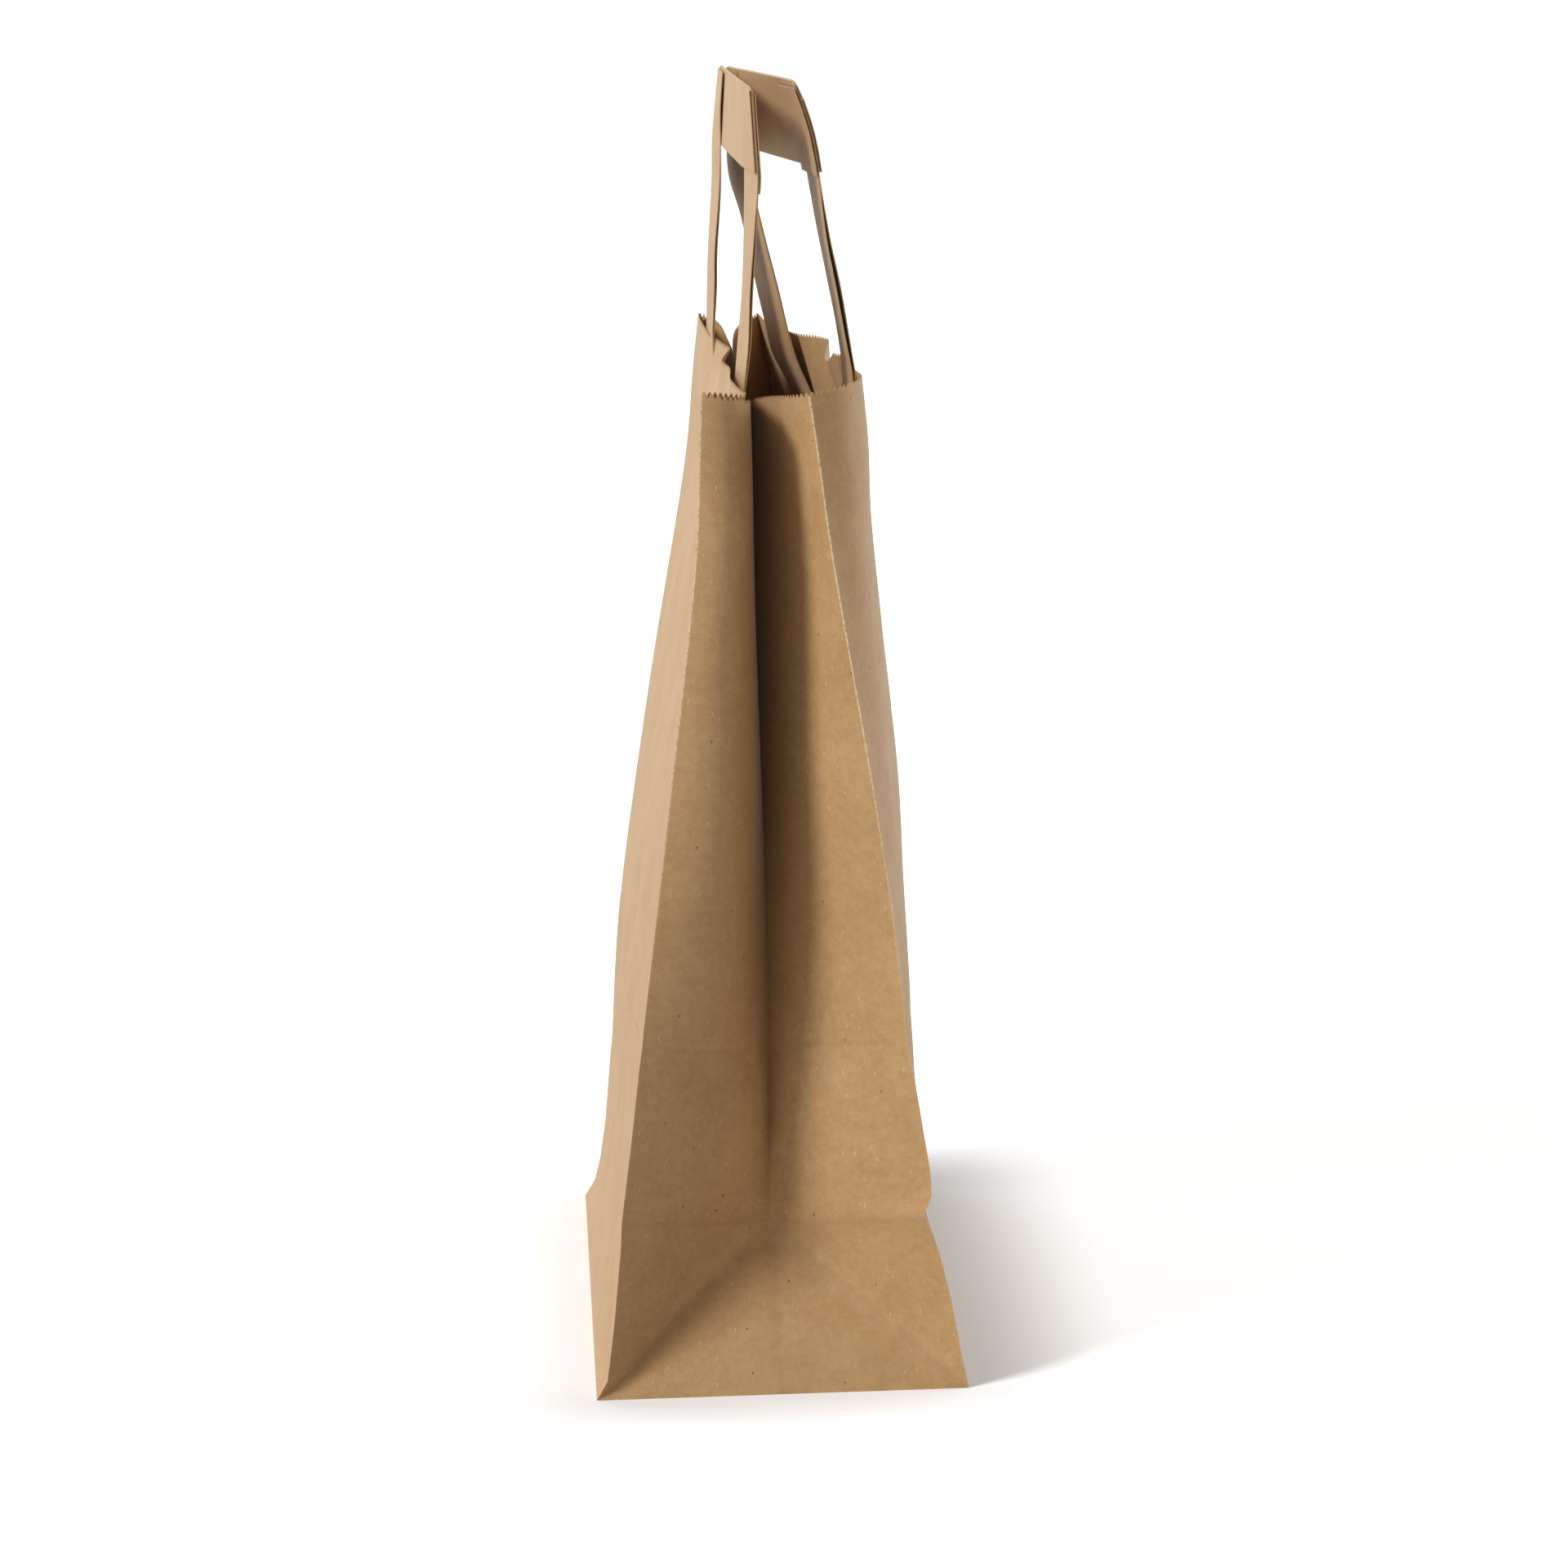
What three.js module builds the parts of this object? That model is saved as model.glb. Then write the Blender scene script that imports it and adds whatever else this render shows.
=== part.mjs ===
// A brown paper carrier bag with a block bottom and two flat folded handles.
// The bag stands on its base. X runs across the side gussets, Y along the wide panels and Z up.
// The origin is the middle of the base. All lengths are in millimetres.
import * as THREE from 'three';

// Driving dimensions of the bag
const BAG_LENGTH = 320;
const BAG_WIDTH = 165;
const PAPER_HEIGHT = 450;
const PAPER_WALL = 0.5;

// Driving dimensions of the handles
const STRIP_WIDTH = 42;
const GRIP_HEIGHT = 40;
const HANDLE_SPAN = 204;
const HANDLE_RISE = 125;
const FOOT_LENGTH = 42;
const STRIP_WALL = 1;
const FOOT_CLEARANCE = 0.8;
const FOLD_LENGTH = 0.5;

// The share of the paper's height at which the leaning panels bring the rim
const RIM_LEVEL = 0.988;

// Driving dimensions of the cut rim
const TOOTH_DEPTH = 1.9;
const NOTCH_DEPTH = 6;
const NOTCH_LENGTH = 50;
const TEETH_PER_FIELD = 7;

// Fields into which the paper is divided round the tube. The rows up its height are shares of the
// stretch from the base to the crease line, and of the stretch from there to the rim.
const FIELDS_PER_GUSSET_HALF = 4;
const FIELDS_PER_PANEL = 16;
const ROWS_BELOW_CREASE = [0, 0.25, 0.5, 0.75, 1];
const ROWS_ABOVE_CREASE = [0.1, 0.2, 0.32, 0.44, 0.56, 0.68, 0.79, 0.86, 0.91, 0.96];

// Fields along and up a handle
const LEG_COLUMNS = 4;
const GRIP_COLUMNS = 10;
const FOOT_ROWS = 3;
const LEG_ROWS = 6;
const GRIP_ROWS = 4;

// How far a gusset half reaches towards its elbow before it turns, and the smallest cosine that a
// mitre is cut for
const ELBOW_PULL = 0.8;
const SHARPEST_MITRE = 0.25;

// Sizes worked out from the driving dimensions
const HALF_LENGTH = BAG_LENGTH / 2;
const HALF_WIDTH = BAG_WIDTH / 2;
const CREASE_HEIGHT = HALF_WIDTH;
const UPPER_HEIGHT = PAPER_HEIGHT - CREASE_HEIGHT;

// Places on the standing bag are shares: across of half the width, along of half the length and up of
// the paper's height. Near is the end with the lower Y, and left is the side with the lower X.
const place = (across, along, up) =>
  new THREE.Vector3(across * HALF_WIDTH, along * HALF_LENGTH, up * PAPER_HEIGHT);
const mix = (start, end, share) => start.clone().lerp(end, share);

// The crease line lies at one height on the paper, so where it leans in, it comes down a little.
function creasePlace(across, along, foot) {
  const reached = place(across, along, 0);
  const lean = reached.distanceTo(foot);
  reached.z = Math.sqrt(CREASE_HEIGHT ** 2 - lean ** 2);
  return reached;
}

// Corners of the base and of the crease line, and the points where the two gussets fold inward
const FOOT = {
  nearLeft: place(-1, -1, 0),
  nearRight: place(1, -1, 0),
  farLeft: place(-1, 1, 0),
  farRight: place(1, 1, 0),
  nearFold: place(0, -1, 0),
  farFold: place(0, 1, 0),
};
const CREASE = {
  nearLeft: creasePlace(-0.842, -1, FOOT.nearLeft),
  nearRight: creasePlace(0.782, -1, FOOT.nearRight),
  farLeft: creasePlace(-0.824, 1, FOOT.farLeft),
  farRight: creasePlace(0.8, 1, FOOT.farRight),
  nearFold: creasePlace(-0.024, -0.694, FOOT.nearFold),
  farFold: creasePlace(0, 0.694, FOOT.farFold),
};

// Level sections of the bag above the crease line. Each gives its corners, the two gusset folds, the
// elbows over which the gusset halves bend inward, and the points that its two wide panels pass.
const SECTIONS = [
  {
    up: 0.34,
    nearLeft: [-0.73, -1], nearRight: [0.72, -1], farLeft: [-0.745, 1], farRight: [0.72, 1],
    nearFold: [-0.012, -0.67], farFold: [0, 0.67],
    elbows: [[-0.24, -0.92], [0.34, -0.85], [0.34, 0.85], [-0.34, 0.85]],
    right: [[0.765, -0.6], [0.785, 0], [0.77, 0.6]],
    left: [[-0.77, -0.5], [-0.78, 0], [-0.78, 0.5]],
  },
  {
    up: 0.58,
    nearLeft: [-0.553, -1], nearRight: [0.55, -1], farLeft: [-0.54, 1], farRight: [0.54, 1],
    nearFold: [-0.02, -0.62], farFold: [0, 0.67],
    elbows: [[-0.1, -0.98], [0.25, -0.9], [0.2, 0.86], [-0.2, 0.88]],
    right: [[0.66, -0.8], [0.75, -0.4], [0.77, 0], [0.72, 0.5]],
    left: [[-0.56, -0.5], [-0.57, 0], [-0.56, 0.5]],
  },
  {
    up: 0.84,
    nearLeft: [-0.372, -1], nearRight: [0.33, -1], farLeft: [-0.285, 1], farRight: [0.29, 1],
    nearFold: [-0.045, -0.57], farFold: [-0.01, 0.65],
    elbows: [[-0.06, -0.99], [0.22, -0.95], [0.12, 0.9], [-0.12, 0.95]],
    right: [[0.49, -0.9], [0.583, -0.7], [0.603, -0.3], [0.565, 0.1], [0.47, 0.5], [0.37, 0.8]],
    left: [[-0.25, -0.93], [-0.2, -0.82], [-0.22, -0.6], [-0.25, -0.2], [-0.26, 0.2], [-0.26, 0.6]],
  },
  {
    up: 0.93,
    nearLeft: [-0.345, -1], nearRight: [0.27, -1], farLeft: [-0.235, 1], farRight: [0.215, 1],
    nearFold: [-0.05, -0.56], farFold: [-0.023, 0.635],
    elbows: [[-0.055, -0.99], [0.17, -0.96], [0.1, 0.9], [-0.095, 0.965]],
    right: [
      [0.44, -0.93], [0.555, -0.77], [0.555, -0.5], [0.53, -0.25],
      [0.52, 0], [0.45, 0.25], [0.37, 0.5], [0.27, 0.78],
    ],
    left: [[-0.22, -0.94], [-0.15, -0.86], [-0.165, -0.6], [-0.19, -0.2], [-0.19, 0.2], [-0.22, 0.6]],
  },
  {
    up: 1,
    nearLeft: [-0.325, -1], nearRight: [0.218, -1], farLeft: [-0.188, 1], farRight: [0.14, 0.99],
    nearFold: [-0.06, -0.55], farFold: [-0.036, 0.62],
    elbows: [[-0.05, -0.99], [0.06, -0.975], [0.08, 0.9], [-0.07, 0.98]],
    right: [
      [0.38, -0.955], [0.515, -0.82], [0.505, -0.6], [0.45, -0.36], [0.37, -0.22],
      [0.42, -0.05], [0.48, 0.14], [0.31, 0.27], [0.265, 0.4], [0.17, 0.66],
    ],
    left: [
      [-0.19, -0.95], [-0.1, -0.92], [-0.07, -0.88], [-0.11, -0.78], [-0.14, -0.6], [-0.12, -0.33],
      [-0.16, -0.16], [-0.11, 0], [-0.05, 0.15], [-0.1, 0.29], [-0.15, 0.43], [-0.18, 0.66],
    ],
  },
];

// The six faces of the tube, in order round it as seen from above: the two halves of the near gusset,
// the right panel, the two halves of the far gusset and the left panel
const FACES = [
  { from: 'nearLeft', to: 'nearFold', elbow: 0, corner: 'nearLeft' },
  { from: 'nearFold', to: 'nearRight', elbow: 1, corner: 'nearRight' },
  { from: 'nearRight', to: 'farRight', points: 'right' },
  { from: 'farRight', to: 'farFold', elbow: 2, corner: 'farRight' },
  { from: 'farFold', to: 'farLeft', elbow: 3, corner: 'farLeft' },
  { from: 'farLeft', to: 'nearLeft', points: 'left', reversed: true },
];
const [RIGHT_PANEL, LEFT_PANEL] = [FACES[2], FACES[5]];
const isPanel = (face) => face.points !== undefined;
const fieldsOn = (face) => (isPanel(face) ? FIELDS_PER_PANEL : FIELDS_PER_GUSSET_HALF);

// The line that one face follows in one level section
function sectionLine(face, section) {
  const at = ([across, along]) => place(across, along, section.up);
  const start = at(section[face.from]);
  const end = at(section[face.to]);
  if (isPanel(face)) {
    const passed = section[face.points].map(at);
    if (face.reversed) passed.reverse();
    return new THREE.CatmullRomCurve3([start, ...passed, end]);
  }
  const elbow = at(section.elbows[face.elbow]);
  const leave = mix(start, elbow, ELBOW_PULL);
  const arrive = mix(end, elbow, ELBOW_PULL);
  return new THREE.CubicBezierCurve3(start, leave, arrive, end);
}
const SECTION_LINES = new Map(FACES.map((face) => [face, SECTIONS.map((s) => sectionLine(face, s))]));

// Below the crease line each gusset half is two flat triangles that meet on a slanting crease, which
// runs from the corner of the base to the point where the gusset starts to fold inward.
function gussetFoot(face, share, height) {
  const isCornerFirst = face.from === face.corner;
  const fold = isCornerFirst ? face.to : face.from;
  const toFold = isCornerFirst ? share : 1 - share;
  const raised = height / CREASE_HEIGHT;
  if (raised <= toFold) {
    const onBase = mix(FOOT[face.corner], FOOT[fold], toFold);
    return onBase.addScaledVector(CREASE[fold].clone().sub(FOOT[fold]), raised);
  }
  const onEdge = mix(FOOT[face.corner], CREASE[face.corner], raised);
  return onEdge.addScaledVector(CREASE[fold].clone().sub(CREASE[face.corner]), toFold);
}

// A line up one face at a share of its width. It gives the place of the paper at any height measured on
// the paper itself, so that the whole rim stays at the height to which the paper is cut.
function paperLine(face, share) {
  const crease = mix(CREASE[face.from], CREASE[face.to], share);
  const above = SECTION_LINES.get(face).map((line) => line.getPointAt(share));
  const upper = new THREE.CatmullRomCurve3([crease, ...above]);
  const length = upper.getLength();
  return (height) => {
    if (height > CREASE_HEIGHT) return upper.getPointAt((height - CREASE_HEIGHT) / length);
    if (!isPanel(face)) return gussetFoot(face, share, height);
    return mix(mix(FOOT[face.from], FOOT[face.to], share), crease, height / CREASE_HEIGHT);
  };
}

// A shell under construction: its corners and its triangles, which become one indexed mesh
class Shell {
  constructor() {
    this.corners = [];
    this.triangles = [];
  }

  corner(position) {
    this.corners.push(position.x, position.y, position.z);
    return this.corners.length / 3 - 1;
  }

  triangle(a, b, c) {
    this.triangles.push(a, b, c);
  }

  quad(a, b, c, d) {
    this.triangle(a, b, c);
    this.triangle(a, c, d);
  }

  mesh(name, material) {
    const geometry = new THREE.BufferGeometry();
    geometry.setAttribute('position', new THREE.Float32BufferAttribute(this.corners, 3));
    geometry.setIndex(this.triangles);
    geometry.computeVertexNormals();
    const mesh = new THREE.Mesh(geometry, material);
    mesh.name = name;
    return mesh;
  }
}

// How far and which way the inside of the paper lies from its outside, at each corner of a closed ring
function insets(ring, wall) {
  return ring.map((corner, i) => {
    const before = ring[(i + ring.length - 1) % ring.length];
    const after = ring[(i + 1) % ring.length];
    const inward = (from, to) => new THREE.Vector3(from.y - to.y, to.x - from.x, 0).normalize();
    const first = inward(before, corner);
    const mitre = first.clone().add(inward(corner, after)).normalize();
    return mitre.multiplyScalar(wall / Math.max(mitre.dot(first), SHARPEST_MITRE));
  });
}

// The height of the cut rim at one step along a face: teeth all round, and a smooth thumb notch in the
// middle of each wide panel
function rimHeight(face, share, isTip) {
  const fromMiddle = Math.abs(share - 0.5) * BAG_LENGTH;
  if (isPanel(face) && fromMiddle < NOTCH_LENGTH / 2) {
    return PAPER_HEIGHT - NOTCH_DEPTH * Math.cos((Math.PI * fromMiddle) / NOTCH_LENGTH);
  }
  return PAPER_HEIGHT - (isTip ? 0 : TOOTH_DEPTH);
}

// The bag body: one sheet folded into a gusseted tube with a flat block bottom
function makeBagBody(material) {
  const shell = new Shell();
  const heights = ROWS_BELOW_CREASE.map((share) => share * CREASE_HEIGHT);
  heights.push(...ROWS_ABOVE_CREASE.map((share) => CREASE_HEIGHT + share * UPPER_HEIGHT));

  const columns = FACES.flatMap((face) => {
    const count = fieldsOn(face);
    return Array.from({ length: count }, (_, i) => ({ face, share: i / count, step: 1 / count }));
  });
  const lines = columns.map(({ face, share }) => paperLine(face, share));
  const after = (i) => (i + 1) % columns.length;

  const outside = [];
  const inside = [];
  heights.forEach((height, row) => {
    const ring = lines.map((line) => line(height));
    const inset = insets(ring, PAPER_WALL);
    outside.push(ring.map((corner) => shell.corner(corner)));
    const isOnBase = row === 0;
    const lift = new THREE.Vector3(0, 0, isOnBase ? PAPER_WALL : 0);
    const depth = isOnBase ? 2 : 1;
    inside.push(ring.map((corner, i) => shell.corner(
      corner.clone().addScaledVector(inset[i], depth).add(lift))));
  });

  // The walls, split along the slanting creases of the gussets
  columns.forEach(({ face }, i) => {
    const isFoldFirst = !isPanel(face) && face.to === face.corner;
    for (let row = 0; row + 1 < heights.length; row += 1) {
      const [a, b] = [outside[row][i], outside[row][after(i)]];
      const [d, c] = [outside[row + 1][i], outside[row + 1][after(i)]];
      const [e, f] = [inside[row][i], inside[row][after(i)]];
      const [h, g] = [inside[row + 1][i], inside[row + 1][after(i)]];
      if (isFoldFirst) {
        shell.quad(b, c, d, a);
        shell.quad(f, e, h, g);
      } else {
        shell.quad(a, b, c, d);
        shell.quad(e, h, g, f);
      }
    }
  });

  // The flat base, outside and inside
  const under = shell.corner(new THREE.Vector3());
  const floor = shell.corner(new THREE.Vector3(0, 0, PAPER_WALL));
  columns.forEach((_, i) => {
    shell.triangle(under, outside[0][after(i)], outside[0][i]);
    shell.triangle(floor, inside[0][i], inside[0][after(i)]);
  });

  // The toothed rim, which is finer than the rows below it
  const rimSteps = 2 * TEETH_PER_FIELD;
  const rimRing = lines.map((line) => line(PAPER_HEIGHT));
  const rimInset = insets(rimRing, PAPER_WALL);
  const edge = columns.map(({ face, share, step }, i) => Array.from({ length: rimSteps }, (_, j) => {
    const along = share + (step * j) / rimSteps;
    const tip = paperLine(face, along)(rimHeight(face, along, j % 2 === 1));
    const inset = mix(rimInset[i], rimInset[after(i)], j / rimSteps);
    return { outer: shell.corner(tip), inner: shell.corner(tip.clone().add(inset)) };
  }));
  const last = heights.length - 1;
  columns.forEach((_, i) => {
    const top = [...edge[i], edge[after(i)][0]];
    const middle = TEETH_PER_FIELD;
    const outer = [outside[last][i], outside[last][after(i)]];
    const inner = [inside[last][i], inside[last][after(i)]];
    shell.triangle(outer[0], outer[1], top[middle].outer);
    shell.triangle(inner[1], inner[0], top[middle].inner);
    for (let j = 0; j < rimSteps; j += 1) {
      const side = j < middle ? 0 : 1;
      shell.triangle(outer[side], top[j + 1].outer, top[j].outer);
      shell.triangle(inner[side], top[j].inner, top[j + 1].inner);
      shell.quad(top[j].outer, top[j + 1].outer, top[j + 1].inner, top[j].inner);
    }
  });
  return shell.mesh('bag_body', material);
}

// Each handle is one folded strip: two legs glued inside a panel and the grip that joins them. A lean
// gives how far across the bag a leg lies, as a share of half the width, at even steps above the rim.
const HANDLES = [
  {
    name: 'left_handle', face: LEFT_PANEL, inward: 1,
    nearLean: [-0.115, -0.09, -0.045, -0.025, 0.012, 0.025], nearRise: 0.975,
    farLean: [-0.15, -0.15, -0.145, -0.14, -0.13, -0.112], farRise: 0.985,
  },
  {
    name: 'right_handle', face: RIGHT_PANEL, inward: -1,
    nearLean: [0.5, 0.465, 0.42, 0.37, 0.325, 0.285], nearRise: 1.015,
    farLean: [0.2, 0.18, 0.13, 0.075, 0.015, -0.03], farRise: 0.965,
  },
];
const LEG_SPACING = HANDLE_SPAN - STRIP_WIDTH;
const GRIP_UNDERSIDE = HANDLE_RISE - GRIP_HEIGHT;
const LEVEL_RIM = RIM_LEVEL * PAPER_HEIGHT;

// How far across the bag a leg lies at a share of the handle's rise
function leanAt(stops, share) {
  const curve = new THREE.SplineCurve(stops.map((across) => new THREE.Vector2(across, 0)));
  return curve.getPoint(share).x * HALF_WIDTH;
}

// A point on the middle layer of a handle. Along is measured from the middle of the bag, and above is
// the height over the rim, which is negative where a foot is glued inside the panel.
function handlePoint(handle, along, above) {
  const fromNear = 0.5 + along / BAG_LENGTH;
  const share = handle.face.reversed ? 1 - fromNear : fromNear;
  const seat = paperLine(handle.face, share)(PAPER_HEIGHT + Math.min(above, 0));
  seat.x += handle.inward * (PAPER_WALL + FOOT_CLEARANCE + STRIP_WALL / 2);
  if (above <= 0) return seat;
  const toFar = 0.5 + along / LEG_SPACING;
  const climbed = above / HANDLE_RISE;
  const near = leanAt(handle.nearLean, climbed);
  const far = leanAt(handle.farLean, climbed);
  const rise = THREE.MathUtils.lerp(handle.nearRise, handle.farRise, toFar);
  const free = new THREE.Vector3(THREE.MathUtils.lerp(near, far, toFar), along, LEVEL_RIM + above * rise);
  const freed = THREE.MathUtils.smoothstep(above, 0, GRIP_UNDERSIDE);
  return mix(seat.setZ(seat.z + above * rise), free, freed);
}

// Even steps from one value to another, both ends included
const steps = (from, to, count) =>
  Array.from({ length: count + 1 }, (_, i) => from + ((to - from) * i) / count);

// A handle as one closed strip of even thickness, doubled where it folds over itself at the two corners
function makeHandle(handle, material) {
  const shell = new Shell();
  const legOutside = HANDLE_SPAN / 2;
  const legInside = legOutside - STRIP_WIDTH;
  const middle = legInside - FOLD_LENGTH;
  const alongs = [
    ...steps(-legOutside, -legInside, LEG_COLUMNS), ...steps(-middle, middle, GRIP_COLUMNS),
    ...steps(legInside, legOutside, LEG_COLUMNS),
  ];
  const aboves = [
    ...steps(-FOOT_LENGTH, 0, FOOT_ROWS), ...steps(0, GRIP_UNDERSIDE - FOLD_LENGTH, LEG_ROWS).slice(1),
    ...steps(GRIP_UNDERSIDE, HANDLE_RISE, GRIP_ROWS),
  ];
  const isLeg = (along) => Math.abs(along) >= legInside;
  const isGrip = (above) => above >= GRIP_UNDERSIDE;
  const layer = (offset) => aboves.map((above) => alongs.map((along) => {
    if (!isLeg(along) && !isGrip(above)) return undefined;
    const corner = handlePoint(handle, along, above);
    corner.x += offset(isLeg(along) && isGrip(above));
    return shell.corner(corner);
  }));
  const back = layer(() => (-handle.inward * STRIP_WALL) / 2);
  const front = layer((isDoubled) => handle.inward * (STRIP_WALL / 2 + (isDoubled ? STRIP_WALL : 0)));
  const [positive, negative] = handle.inward > 0 ? [front, back] : [back, front];

  const isSolid = (row, column) => {
    const corners = [[row, column], [row, column + 1], [row + 1, column], [row + 1, column + 1]];
    return corners.every(([r, c]) => positive[r]?.[c] !== undefined);
  };
  for (let row = 0; row + 1 < aboves.length; row += 1) {
    for (let column = 0; column + 1 < alongs.length; column += 1) {
      if (!isSolid(row, column)) continue;
      const round = [[row, column], [row, column + 1], [row + 1, column + 1], [row + 1, column]];
      const [a, b, c, d] = round.map(([r, k]) => positive[r][k]);
      const [e, f, g, h] = round.map(([r, k]) => negative[r][k]);
      shell.quad(a, b, c, d);
      shell.quad(e, h, g, f);
      if (!isSolid(row - 1, column)) shell.quad(a, e, f, b);
      if (!isSolid(row, column + 1)) shell.quad(b, f, g, c);
      if (!isSolid(row + 1, column)) shell.quad(c, g, h, d);
      if (!isSolid(row, column - 1)) shell.quad(d, h, e, a);
    }
  }
  return shell.mesh(handle.name, material);
}

const kraftPaper = (name, color) => {
  const material = new THREE.MeshStandardMaterial({ color, roughness: 0.85, metalness: 0 });
  material.name = name;
  return material;
};

const bag = new THREE.Group();
bag.name = 'paper_carrier_bag';
bag.add(makeBagBody(kraftPaper('kraft_sheet', 0xb8926a)));
HANDLES.forEach((handle) => bag.add(makeHandle(handle, kraftPaper(`${handle.name}_strip`, 0xbf9a72))));

export default bag;
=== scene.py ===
# %% [markdown]
# # A brown paper carrier bag
#
# We build an empty carrier bag of brown kraft paper. It stands on its flat block bottom, its two narrow
# sides fold inward at the top, and two flat paper handles lean against each other over the mouth.
# The real bag is one sheet of paper and two strips, so our meshes are sheets too: thin, folded, and cut
# with small teeth along the rim. All lengths are in millimetres until a mesh is made.

# %% Load the fixed model of the bag
import math
from functools import reduce

import bpy
import numpy as np
from mathutils import Matrix, Vector


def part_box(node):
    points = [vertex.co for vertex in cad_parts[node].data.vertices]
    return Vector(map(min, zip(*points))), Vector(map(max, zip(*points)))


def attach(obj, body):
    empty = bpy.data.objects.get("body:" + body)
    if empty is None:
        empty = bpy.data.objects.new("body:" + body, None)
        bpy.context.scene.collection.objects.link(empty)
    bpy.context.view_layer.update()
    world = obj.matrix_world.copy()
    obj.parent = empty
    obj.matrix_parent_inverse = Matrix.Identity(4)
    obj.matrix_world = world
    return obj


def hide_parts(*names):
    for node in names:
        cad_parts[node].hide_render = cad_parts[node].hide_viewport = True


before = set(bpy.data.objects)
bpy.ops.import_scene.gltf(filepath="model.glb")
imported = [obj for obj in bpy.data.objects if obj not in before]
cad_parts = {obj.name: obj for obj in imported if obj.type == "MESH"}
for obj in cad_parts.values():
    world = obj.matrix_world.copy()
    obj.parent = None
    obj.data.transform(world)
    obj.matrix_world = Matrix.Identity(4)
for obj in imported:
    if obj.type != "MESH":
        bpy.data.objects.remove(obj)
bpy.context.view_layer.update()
MM = 0.001
print("nodes:", sorted(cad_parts))

# %% [markdown]
# ## The sizes of the bag
#
# Bags of this kind are sold by the length and width of the base and the height of the paper. The width
# is also the width of a gusset, and the block bottom creases the paper at half that width above the
# base. We take the width from the solid model and name the rest.

# %% Driving sizes
body_low, body_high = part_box("bag_body")
BAG_WIDTH = (body_high.x - body_low.x) / MM
BAG_LENGTH = 320.0
PAPER_HEIGHT = 450.0
PAPER_WALL = 0.25
HALF_WIDTH = BAG_WIDTH / 2
HALF_LENGTH = BAG_LENGTH / 2
CREASE_HEIGHT = HALF_WIDTH
print(f"base {BAG_WIDTH:.0f} x {BAG_LENGTH:.0f} mm, paper {PAPER_HEIGHT:.0f} mm high")

# %% [markdown]
# ## Curves through a few chosen points
#
# Paper bends in long smooth lines between its folds. A Catmull-Rom curve passes through every point that
# we choose, which a Bezier curve does not, so it suits a shape that is set by a few known places. Each
# curve is kept as a fine run of samples with its running length, because the paper does not stretch:
# equal lengths of paper take equal lengths of curve.

# %% Curves that know their own length
SAMPLES = 48


class Line:
    """A sampled curve that gives its points by the length run along it."""

    def __init__(self, samples):
        self.samples = np.asarray(samples, float)
        steps = np.linalg.norm(np.diff(self.samples, axis=0), axis=1)
        self.run = np.concatenate([[0.0], np.cumsum(steps)])
        self.length = self.run[-1]

    def at(self, run):
        """The points at some lengths along the line."""
        return np.stack([np.interp(run, self.run, axis) for axis in self.samples.T], axis=-1)


def through(points):
    """A smooth line through all the points."""
    points = np.asarray(points, float)
    padded = np.vstack([2 * points[0] - points[1], points, 2 * points[-1] - points[-2]])
    t = np.linspace(0, 1, SAMPLES, endpoint=False)[:, None]
    pieces = []
    for a, b, c, d in zip(padded, padded[1:], padded[2:], padded[3:]):
        ab, bc, cd = (math.sqrt(np.linalg.norm(q - p)) for p, q in ((a, b), (b, c), (c, d)))
        leave = ((b - a) / ab - (c - a) / (ab + bc) + (c - b) / bc) * bc
        arrive = ((c - b) / bc - (d - b) / (bc + cd) + (d - c) / cd) * bc
        square = 3 * (c - b) - 2 * leave - arrive
        cube = 2 * (b - c) + leave + arrive
        pieces.append(b + leave * t + square * t**2 + cube * t**3)
    return Line(np.vstack(pieces + [points[-1:]]))


def bend(start, leave, arrive, end):
    """One Bezier arc, for a gusset half that turns over a soft elbow."""
    t = np.linspace(0, 1, 2 * SAMPLES)[:, None]
    near = (1 - t) ** 3 * start + 3 * (1 - t) ** 2 * t * leave
    return Line(near + 3 * (1 - t) * t**2 * arrive + t**3 * end)


def mix(start, end, share):
    """The place or number at a share of the way from the start to the end."""
    return start + (end - start) * share


def ease(value, start, end):
    """0 before start, 1 after end, and a smooth rise between them."""
    t = np.clip((value - start) / (end - start), 0, 1)
    return t * t * (3 - 2 * t)


print("a curve through (0, 0), (3, 4) and (6, 8) is", through([(0, 0), (3, 4), (6, 8)]).length, "mm long")

# %% [markdown]
# ## The shape of the standing bag
#
# The tube has six faces: two gusset halves at each end, which fold inward, and two wide panels. Below
# the crease line every face is flat. Above it we describe the bag by six level sections, as a boat
# builder describes a hull: each gives the four corners, the two inner gusset folds, the elbows over which
# the gusset halves bend, and a few points that each wide panel passes. Places are shares of half the
# width, half the length and the paper height, so the shape follows the sizes.

# %% Corners, folds and level sections


def place(across, along, up):
    """A point of the bag from its shares of the sizes."""
    return np.array([across * HALF_WIDTH, along * HALF_LENGTH, up * PAPER_HEIGHT])


def crease_place(across, along, foot):
    """A point of the crease line. Where the paper leans in, it comes down a little."""
    reached = place(across, along, 0)
    lean = np.linalg.norm(reached - foot)
    reached[2] = math.sqrt(CREASE_HEIGHT**2 - lean**2)
    return reached


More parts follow.
